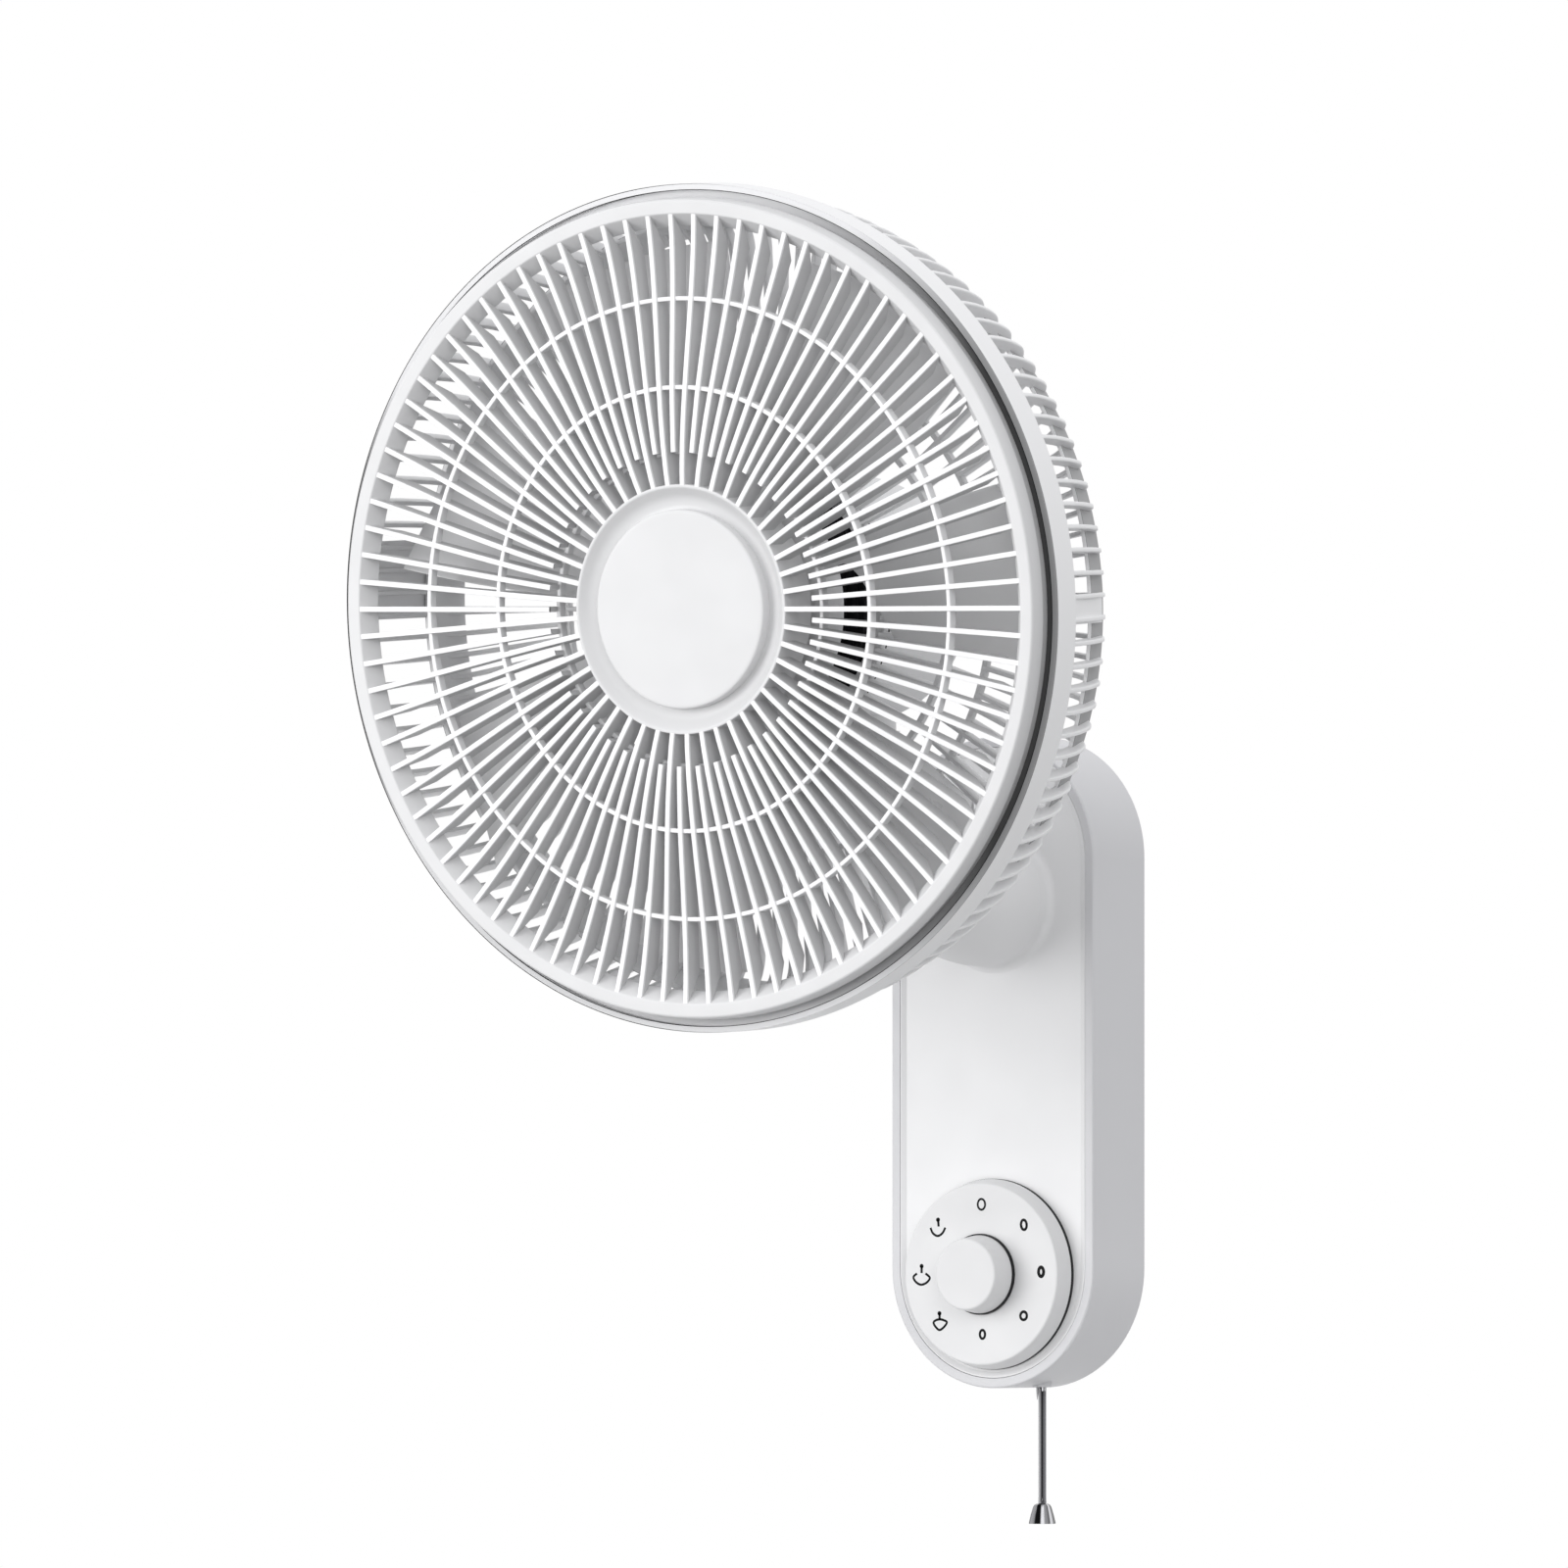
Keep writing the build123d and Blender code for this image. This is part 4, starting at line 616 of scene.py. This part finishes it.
def make_front_guard():
    """Ring and hub in one, then all spokes, darker for painted shade, then the pale strips on them with the
    thin rings, which are painted light.
    """
    ring = turned(rounded(ring_outline), rim_segments)
    hub = turned(rounded(hub_outline), hub_segments)
    half = thin_ring_width / 2
    rings = [flat_ring(radius - half, radius + half, front, front + thin_ring_depth, hub_segments,
                       cuts=(0.4, 0.4, 0, 0)) for radius, front in thin_rings]
    webs, strips = [], []
    for k in range(spoke_count):
        start, drop = (short_spoke_start, short_spoke_drop) if k % 2 else (spoke_start, 0.0)
        web, strip = spoke(k * 360 / spoke_count, start, drop)
        webs.append(web)
        strips.append(strip)
    guard = make_piece("front_guard_moulding", joined(ring, hub), white_guard, "head",
                       place=on_head)
    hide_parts("front_guard")
    make_piece("front_guard_spokes_painted_shade", joined(*webs), spoke_webs_painted_shade, "head", place=on_head)
    make_piece("front_guard_edges_painted_light", joined(*rings, *strips), spoke_edges_painted_light, "head",
               place=on_head)


def make_guard_cap():
    cap = turned(rounded(cap_outline), hub_segments)
    piece = make_piece("guard_cap_disc", cap, white_guard, "head", place=on_head)
    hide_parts("guard_cap")


def make_painted_groove_shade():
    """Painted shade in the groove between both guards: a thin ring in the groove and one on the band's lip,
    pale on the head's left and dark on its right, and lines along the lip's edges: a black painted shadow
    line at its inner edge, and a painted highlight at its outer edge, dark on the left and grey on the right.
    """
    # painted shade: pale on the left, dark on the right where the groove lies in shade
    shade_sheet = flat_ring(*groove_shade_ring, rim_segments, cuts=(0, 0.3, 0, 0), steps=2)
    tones = painted_shade_across_head("groove seal", (0.0, 0.76), (0.62, 0.76), (0.78, 0.45), (0.9, 0.10), (1.0, 0.08))
    make_piece("groove_seal", shade_sheet, tones, "head", place=on_head)
    # painted light and shade on the band's lip: dark at its left edge, pale across the middle, grey on the
    # right
    lip = flat_ring(*lip_shade_ring, rim_segments, cuts=(0, 0.2, 0, 0), steps=2)
    tones = painted_shade_across_head("painted lip shade", (0.0, 0.16), (0.03, 0.2), (0.08, 0.74), (0.72, 0.74), (0.9, 0.28), (1.0, 0.24))
    make_piece("groove_lip_painted_shade", lip, tones, "head", place=on_head)
    # painted shadow: a black line along the lip's inner edge
    inner = flat_ring(*groove_shadow_line, rim_segments)
    make_piece("groove_painted_shadow_line", inner, ink, "head", place=on_head)
    # painted highlight along the lip's outer edge, with painted shade on its left and right
    outer = flat_ring(*lip_edge_light_and_shade, rim_segments)
    tones = painted_shade_across_head("painted lip edge light and shade", (0.0, 0.03), (0.42, 0.08), (0.56, 0.74), (0.72, 0.74), (0.9, 0.3), (1.0, 0.28))
    make_piece("lip_edge_painted_light_and_shade", outer, tones, "head", place=on_head)


make_front_guard()
make_guard_cap()
make_painted_groove_shade()


# ---------------------------------------------------------------- rear guard
rim_bend = (120.0, 51.892, 14.829)              # the ribs' long bend: its radius, and its centre
corner_bend = (20.521, 144.764, 50.479)
rim_leans = (3.6, 7.0, 11.0, 15.0, 18.0, 21.0)  # degrees along each bend
corner_leans = (29.0, 38.0, 48.0, 58.0, 69.0, 80.0, 90.0)
cage_back = 71.0              # depth of the flat back
cage_mount = 56.0             # depth where the long ribs end, on the mounting ring
rib_width = 5.5
rib_section = [
    (0.0, 0.5), (0.15, 0.8), (0.5, 0.95), (-0.9, 1.0), (-0.42, 0.93), (-0.14, 0.74), (-0.0001, 0.42)]
back_radii = (124.0, 103.0, 83.0)               # stations across the back
back_rings = (103.0, 83.0)
back_ring_width, back_ring_depth, back_ring_step = 2.4, 3.2, 0.4
rib_reach, short_rib_reach = 60.0, 103.0
mount_inner, mount_outer, mount_thickness = 54.0, 61.0, 3.0
mount_segments = 180
band_outline = [
    (170.4, 9.2, 0.3), (band_radius, 9.2, 0.7), (band_radius, 23.2, 0.5), (168.4, 23.2, 0.3), (168.4, 13.0),
    (170.4, 13.0)]
hoop_outline = [(160.2, 51.0, 0.4), (162.1, 51.0), (156.1, 68.5), (154.2, 68.5, 0.4)]
hoop_shade_skin_outline = [(162.1, 51.0), (162.4, 51.0, 0.1), (156.4, 68.5, 0.1), (156.1, 68.5)]
bar_outline = [(168.7, 23.0), (171.1, 23.0), (164.1, 56.0, 0.4), (161.7, 56.0, 0.4)]
bar_spans = ((1, -7.5, 4.0), (-1, -5.0, 27.0))  # side, and the heights between which each bar lies
bar_step = 3.0


def on_bend(bend, lean, inset=0.0):
    """A point of a bend, (radius, depth), or one inside it."""
    curve, radius, depth = bend
    a = radians(lean)
    return (radius + (curve - inset) * cos(a), depth + (curve - inset) * sin(a))


def cage_rib(angle, reach):
    """Along the rim, round the corner and in across the back; its front edge is the inner one."""
    stations = []
    for bend, leans in ((rim_bend, rim_leans), (corner_bend, corner_leans)):
        stations += [(on_bend(bend, lean, rib_width), on_bend(bend, lean)) for lean in leans]
    for radius in back_radii:
        if radius >= reach:
            stations.append(((radius, cage_back - rib_width), (radius, cage_back)))
    if reach < back_radii[-1]:
        stations.append(((reach, cage_mount - rib_width), (reach, cage_mount)))
    return plate(stations, rib_section, angle)


def guard_bar(side, low, high):
    """A curved bar between the ribs, from the band to the hoop."""
    outline = rounded(bar_outline)
    points = []
    steps = max(2, round((high - low) / bar_step))
    for i in range(steps + 1):
        z = low + (high - low) * i / steps
        points += [(side * sqrt(r * r - z * z), d, z) for r, d in outline]
    return points, tube_faces(steps + 1, len(outline))


def make_rear_guard():
    """Band, hoop, ribs, bars and rings; the hoop's outer skin is a piece of its own, dark grey for painted
    shade.
    """
    band = turned(rounded(band_outline), rim_segments)
    hoop = turned(rounded(hoop_outline, 3), rim_segments)
    skin = turned(rounded(hoop_shade_skin_outline, 2), rim_segments)
    front = cage_back - rib_width + back_ring_step
    half = back_ring_width / 2
    rings = [flat_ring(radius - half, radius + half, front, front + back_ring_depth, hub_segments,
                       cuts=(0.3, 0.3, 0.3, 0.3)) for radius in back_rings]
    mount = flat_ring(mount_inner, mount_outer, cage_mount - mount_thickness, cage_mount, mount_segments,
                      cuts=(0.3, 0.3, 0, 0))
    bars = [guard_bar(*span) for span in bar_spans]
    ribs = [cage_rib(cage_first_rib + k * 360 / cage_rib_count, short_rib_reach if k % 2 else rib_reach)
            for k in range(cage_rib_count)]
    # the hoop's outer skin, dark grey: painted shade
    make_piece("rear_guard_hoop_painted_shade", skin, hoop_painted_shade, "head", place=on_head)
    guard = make_piece("rear_guard_cage", joined(band, hoop, *rings, mount, *bars, *ribs), white_cage, "head",
                       place=on_head)
    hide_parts("rear_guard")


make_rear_guard()


# ---------------------------------------------------------------- impeller
blade_stations = [(51.8, 38.0, 33.0), (102.4, 66.0, 27.0), (153.0, 84.0, 21.0)]   # radius, chord, pitch
blade_depth = 29.0
blade_tip_radius = 149.0
blade_camber = 0.07           # share of the chord
blade_thickness = 2.0
blade_thinning = 0.75         # share of the thickness that its edges lose
blade_chord_steps, blade_tip_steps = 28, 12
neck_width = 0.2              # share of the chord that the neck at the hub keeps
neck_end, neck_shoulder = 62.0, 72.0      # radii where the blade starts to widen and has its full chord
root_radii = (51.8, 57.0, 61.0, 63.0, 65.0, 67.0, 69.0, 71.0, 73.0, 77.0, 82.0)
spinner_outline = [
    (4.0, 18.8), (9.5, 18.8), (40.0, 20.0, 6.0), (50.0, 24.0, 4.0), (54.0, 31.0, 4.0), (54.0, 33.0, 0.4),
    (51.6, 33.0), (51.6, 31.6), (48.8, 26.4), (39.0, 22.4), (10.0, 22.4), (10.0, 42.3), (4.0, 42.3)]
spinner_segments = 180


def neck(radius):
    """How much of the chord the blade has; its rear edge is cut back near the hub."""
    t = min(1.0, max(0.0, (radius - neck_end) / (neck_shoulder - neck_end)))
    return neck_width + (1.0 - neck_width) * t * t * (3 - 2 * t)


def blade_point(radius, share, up):
    """A point of the blade; share runs along the chord from -1 to 1, up through its thickness from 0 to 1."""
    def section(station):
        r, chord, pitch = station
        a = ((share + 1.0) * neck(radius) - 1.0) * chord / 2
        rise = blade_camber * chord
        bow = (chord ** 2 / 4 + rise ** 2) / (2 * rise)
        edge = 1 - (1 - sqrt(max(0.0, 1 - share ** 8))) * blade_thinning
        b = rise - bow + sqrt(bow ** 2 - a ** 2) + blade_thickness * (0.5 + (up - 0.5) * edge)
        p = radians(pitch)
        return Vector((r, blade_depth + a * sin(p) + b * cos(p), -a * cos(p) + b * sin(p)))
    weights = []
    for i, (ri, _, _) in enumerate(blade_stations):
        weight = 1.0
        for j, (rj, _, _) in enumerate(blade_stations):
            if i != j:
                weight *= (radius - rj) / (ri - rj)
        weights.append(weight)
    total = Vector((0.0, 0.0, 0.0))
    for weight, station in zip(weights, blade_stations):
        total += section(station) * weight
    return total


def tip_station(share, up):
    """How far out the blade reaches the round tip."""
    low, high = blade_stations[1][0], blade_stations[2][0]
    for _ in range(30):
        middle = (low + high) / 2
        p = blade_point(middle, share, up)
        if hypot(p.x, p.z) < blade_tip_radius:
            low = middle
        else:
            high = middle
    return low


def make_impeller():
    """The spinner and its blades. A blade is columns of points along one face and back along the other."""
    span_steps = len(root_radii) - 1 + blade_tip_steps
    sides = []
    for up in (0.0, 1.0):
        grid = []
        for i in range(blade_chord_steps + 1):
            share = -cos(pi * i / blade_chord_steps)
            last = root_radii[-1]
            step = (tip_station(share, up) - last) / blade_tip_steps
            radii = [*root_radii, *(last + step * (j + 1) for j in range(blade_tip_steps))]
            grid.append([blade_point(radius, share, up) for radius in radii])
        sides.append(grid)
    columns = sides[0] + sides[1][::-1]
    loop = len(columns)
    points = [tuple(p) for column in columns for p in column]
    rows = span_steps + 1
    faces = []
    for i in range(loop):
        m = (i + 1) % loop
        for j in range(span_steps):
            faces.append((i * rows + j, m * rows + j, m * rows + j + 1, i * rows + j + 1))
    for j in (0, span_steps):
        for i in range(blade_chord_steps):
            a, b = i, i + 1
            c, d = loop - 2 - i, loop - 1 - i
            faces.append((a * rows + j, b * rows + j, c * rows + j, d * rows + j))
    blades = []
    for k in range(blade_count):
        a = radians(first_blade + 360 / blade_count * k)
        blades.append(([(x * cos(a) - z * sin(a), d, x * sin(a) + z * cos(a)) for x, d, z in points], faces))
    spinner = turned(rounded(spinner_outline), spinner_segments)
    piece = make_piece("impeller_moulding", joined(spinner, *blades), blade_grey, "rotor",
                       place=on_head, sharp=40.0)
    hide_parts("impeller")


make_impeller()


# ---------------------------------------------------------------- panel
def stadium(inset, y):
    """One loop round the panel, inset from its outline."""
    radius = panel_radius - inset
    loop = []
    for centre, start in ((panel_end, 0.0), (-panel_end, pi)):
        for k in range(panel_segments + 1):
            a = start + pi * k / panel_segments
            loop.append((radius * cos(a), y, centre + radius * sin(a)))
    return loop


def make_front_face():
    """The front panel: a stadium with its border and recessed face, and the collar on it."""
    front = panel_front_y
    edge = panel_rim + seam_width / 2
    loops = [(edge, front + panel_thickness)]
    loops += [(edge + inset, front + depth) for inset, depth in panel_border]
    points = [point for inset, y in loops for point in stadium(inset, y)]
    face = (points, tube_faces(len(loops), 2 * (panel_segments + 1)))
    foot = front + panel_recess
    collar = turned(rounded([
        (0.0, front - collar_height), (collar_radius, front - collar_height, collar_edge),
        (collar_radius, foot, collar_sweep), (collar_foot_radius, foot + collar_foot_sink),
        (collar_foot_radius, front + collar_base), (0.0, front + collar_base)], 10), collar_segments,
        centre=(0.0, collar_z))
    piece = make_piece("front_panel_face", joined(face, collar), white, "base")
    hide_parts("front_panel")


make_front_face()


# ---------------------------------------------------------------- dial and knob
def make_dial():
    shadow = panel_front_y - dial_gap
    plate_shape = turned(rounded([
        (0.0, dial_front_y), (dial_front_radius, dial_front_y, 0.8), (dial_base_radius, shadow, 0.25),
        (dial_neck_radius, shadow, 0.1), (dial_neck_radius, panel_front_y), (0.0, panel_front_y)]),
        dial_segments, centre=(0.0, dial_z))
    piece = make_piece("dial_plate_disc", plate_shape, white_knob, "base")
    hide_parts("dial_plate")


def stroke(route, width):
    """A flat mark of even width along points of the dial."""
    front, back = dial_front_y - mark_proud, dial_front_y + mark_sink
    points, faces = [], []
    half = width / 2
    flat = [Vector(p) for p in route]
    left, right = [], []
    for i, here in enumerate(flat):
        before = flat[max(i - 1, 0)]
        after = flat[min(i + 1, len(flat) - 1)]
        along = (after - before).normalized()
        side = Vector((-along.y, along.x)) * half
        if i in (0, len(flat) - 1):
            out = along * half * (-1 if i == 0 else 1)
            left.append(here + side + out * mark_end)
            right.append(here - side + out * mark_end)
        else:
            left.append(here + side)
            right.append(here - side)
    n = len(flat)
    for y in (front, back):
        points += [(p.x, y, dial_z + p.y) for p in left]
        points += [(p.x, y, dial_z + p.y) for p in right]
    for i in range(n - 1):
        faces.append((i, i + 1, n + i + 1, n + i))
        faces.append((2 * n + i, 3 * n + i, 3 * n + i + 1, 2 * n + i + 1))
        faces.append((i, 2 * n + i, 2 * n + i + 1, i + 1))
        faces.append((n + i, n + i + 1, 3 * n + i + 1, 3 * n + i))
    faces.append((0, n, 3 * n, 2 * n))
    faces.append((n - 1, 3 * n - 1, 4 * n - 1, 2 * n - 1))
    return points, faces


def smooth(route, steps=5):
    """A round line through the points."""
    line = []
    for i in range(len(route) - 1):
        a, b, c, d = (Vector(route[min(max(j, 0), len(route) - 1)]) for j in (i - 1, i, i + 1, i + 2))
        for k in range(steps):
            t = k / steps
            line.append(0.5 * (2 * b + (c - a) * t + (2 * a - 5 * b + 4 * c - d) * t ** 2
                               + (3 * b - a - 3 * c + d) * t ** 3))
    line.append(Vector(route[-1]))
    return [tuple(p) for p in line]


def oval(x, z, wide, high, width, lean=0.0):
    """An oval line about (x, z) of the dial; wide and high are its outer half sizes."""
    half_wide, half_high = wide - width / 2, high - width / 2
    route = []
    for k in range(oval_sides + 1):
        a = 2 * pi * k / oval_sides
        u, v = half_wide * cos(a), half_high * sin(a)
        route.append((x + u * cos(lean) - v * sin(lean), z + u * sin(lean) + v * cos(lean)))
    return stroke(route, width)


def dot(x, z, radius):
    """A round mark."""
    points = []
    for y in (dial_front_y - mark_proud, dial_front_y + mark_sink):
        for k in range(dot_sides):
            a = 2 * pi * k / dot_sides
            points.append((x + radius * cos(a), y, dial_z + (z + radius * sin(a))))
    return points, tube_faces(2, dot_sides)


def make_dial_marks():
    """Plain ovals for the speeds, and three swing signs: a stick with a dot over an arc."""
    marks = [oval(0.2, 28.6, 2.25, 2.65, 0.9), oval(20.9, 20.3, 1.95, 2.6, 1.15, 0.1),
             oval(29.3, 1.1, 1.95, 2.6, 1.45), oval(20.8, -16.9, 2.15, 2.25, 1.15, -0.3),
             oval(0.7, -24.6, 1.8, 2.3, 1.1)]
    signs = [                 # the stick's top and foot, and the line under it
        ((-21.0, 22.2), (-20.7, 19.6),
         [(-24.6, 18.8), (-23.5, 16.7), (-21.2, 15.6), (-18.9, 16.7), (-17.5, 18.9)]),
        ((-29.0, 3.2), (-29.0, 0.5),
         [(-31.4, 0.1), (-33.0, -1.3), (-31.8, -3.3), (-29.2, -4.4), (-26.4, -3.4), (-25.0, -1.5),
          (-27.0, 0.1)]),
        ((-20.3, -16.1), (-20.2, -18.3),
         [(-20.2, -18.5), (-22.0, -18.9), (-23.2, -19.9), (-22.1, -21.7), (-20.2, -22.9), (-17.9, -21.5),
          (-16.7, -19.7), (-18.4, -18.8), (-20.2, -18.5)]),
    ]
    for top, foot, arc in signs:
        marks += [dot(*top, 0.95), stroke([top, foot], 1.05), stroke(smooth(arc), 0.98)]
    make_piece("dial_marks", joined(*marks), ink, "base", sharp=20.0, weld=0.00001)


def make_knob():
    back = dial_front_y - knob_gap
    shape = turned(rounded([
        (0.0, knob_front_y), (knob_front_radius, knob_front_y, 1.0), (knob_base_radius, back, 0.2),
        (knob_neck_radius, back), (knob_neck_radius, dial_front_y), (0.0, dial_front_y)]), knob_segments,
        centre=(0.0, dial_z))
    piece = make_piece("control_knob_cap", shape, white_knob, "knob")
    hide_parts("control_knob")


def make_shadow_rings():
    """Thin black rings under the knob and under the dial, painted shadow: they show as the dark lines of the
    shadow gaps.
    """
    for name, radius, back, front in (
            ("knob_painted_shadow_ring", knob_shadow_ring_radius, dial_front_y, dial_front_y - knob_gap),
            ("dial_painted_shadow_ring", dial_shadow_ring_radius, panel_front_y + panel_recess, panel_front_y - dial_gap)):
        front += shadow_ring_gap
        inner = radius - shadow_ring_width
        outline = rounded([(inner, back), (inner, front), (radius, front, 0.1), (radius, back)], 2)
        ring = turned(outline, knob_segments, centre=(0.0, dial_z))
        make_piece(name, ring, black, "base")


make_dial()
make_dial_marks()
make_knob()
make_shadow_rings()


# ---------------------------------------------------------------- stage, light and camera
floor_radius, floor_z, floor_sides = 0.8, -0.9, 96      # metres
fill_low, fill_high = 0.18, 1.08        # light from below and from above
fill_slope = 0.6                        # height of direction at which each is reached
lamps = (                               # name, place, aim and size in metres, power in watts
    ("key", (-1.65, -2.4, 0.35), (0, -0.12, 0.05), 2.0, 42),
    ("side", (2.0, -2.3, 0.9), (0, -0.12, 0.1), 1.4, 16),
)


def make_floor():
    mesh = bpy.data.meshes.new("floor")
    rim = []
    for k in range(floor_sides):
        a = 2 * pi * k / floor_sides
        rim.append((floor_radius * cos(a), floor_radius * sin(a), floor_z))
    mesh.from_pydata(rim, [], [tuple(range(floor_sides))])
    floor = bpy.data.objects.new("floor", mesh)
    bpy.context.scene.collection.objects.link(floor)
    finish = Finish("pale floor", (0.80, 0.80, 0.80), 0.7)
    finish.colours(finish.noise(3.0), (0.3, (0.79, 0.79, 0.79)), (0.7, (0.81, 0.81, 0.81)))
    mesh.materials.append(finish.material)


def make_world():
    """A soft fill that grows with height, and a plain white background for what the camera sees."""
    world = bpy.data.worlds.new("studio")
    bpy.context.scene.world = world
    world.use_nodes = True
    nodes, links = world.node_tree.nodes, world.node_tree.links
    nodes.clear()
    out = nodes.new("ShaderNodeOutputWorld")
    fill = nodes.new("ShaderNodeBackground")
    fill.inputs["Color"].default_value = (0.98, 0.985, 1.0, 1.0)
    height = nodes.new("ShaderNodeSeparateXYZ")
    links.new(nodes.new("ShaderNodeTexCoord").outputs["Generated"], height.inputs["Vector"])
    strength = nodes.new("ShaderNodeMapRange")
    strength.inputs["From Min"].default_value = -fill_slope
    strength.inputs["From Max"].default_value = fill_slope
    strength.inputs["To Min"].default_value = fill_low
    strength.inputs["To Max"].default_value = fill_high
    links.new(height.outputs["Z"], strength.inputs["Value"])
    links.new(strength.outputs["Result"], fill.inputs["Strength"])
    backdrop = nodes.new("ShaderNodeBackground")
    backdrop.inputs["Color"].default_value = (1.0, 1.0, 1.0, 1.0)
    backdrop.inputs["Strength"].default_value = 1.0
    path = nodes.new("ShaderNodeLightPath")
    seen = path.outputs["Is Camera Ray"]
    for name in ("Is Glossy Ray", "Is Transmission Ray"):
        either = nodes.new("ShaderNodeMath")
        either.operation = "MAXIMUM"
        links.new(seen, either.inputs[0])
        links.new(path.outputs[name], either.inputs[1])
        seen = either.outputs[0]
    mix = nodes.new("ShaderNodeMixShader")
    links.new(seen, mix.inputs["Fac"])
    links.new(fill.outputs[0], mix.inputs[1])
    links.new(backdrop.outputs[0], mix.inputs[2])
    links.new(mix.outputs[0], out.inputs["Surface"])


def area_light(name, place, aim, size, power):
    """A round soft light at place, turned to aim."""
    data = bpy.data.lights.new(name, "AREA")
    data.shape = "DISK"
    data.size = size
    data.energy = power
    lamp = bpy.data.objects.new(name, data)
    lamp.location = place
    lamp.rotation_euler = (Vector(aim) - Vector(place)).to_track_quat("-Z", "Y").to_euler()
    bpy.context.scene.collection.objects.link(lamp)


def make_camera():
    """A level camera far off, to the right of the fan's front."""
    data = bpy.data.cameras.new("camera")
    data.lens = lens
    data.sensor_width = sensor_width
    data.clip_end = view_clip_end
    camera = bpy.data.objects.new("camera", data)
    back = Vector((sin(view_azimuth), -cos(view_azimuth), 0.0))
    camera.location = view_target + back * view_distance
    camera.rotation_euler = (pi / 2, 0.0, view_azimuth)
    bpy.context.scene.collection.objects.link(camera)
    bpy.context.scene.camera = camera


make_floor()
make_world()
for lamp in lamps:
    area_light(*lamp)
make_camera()
bpy.context.scene.view_settings.view_transform = "Standard"
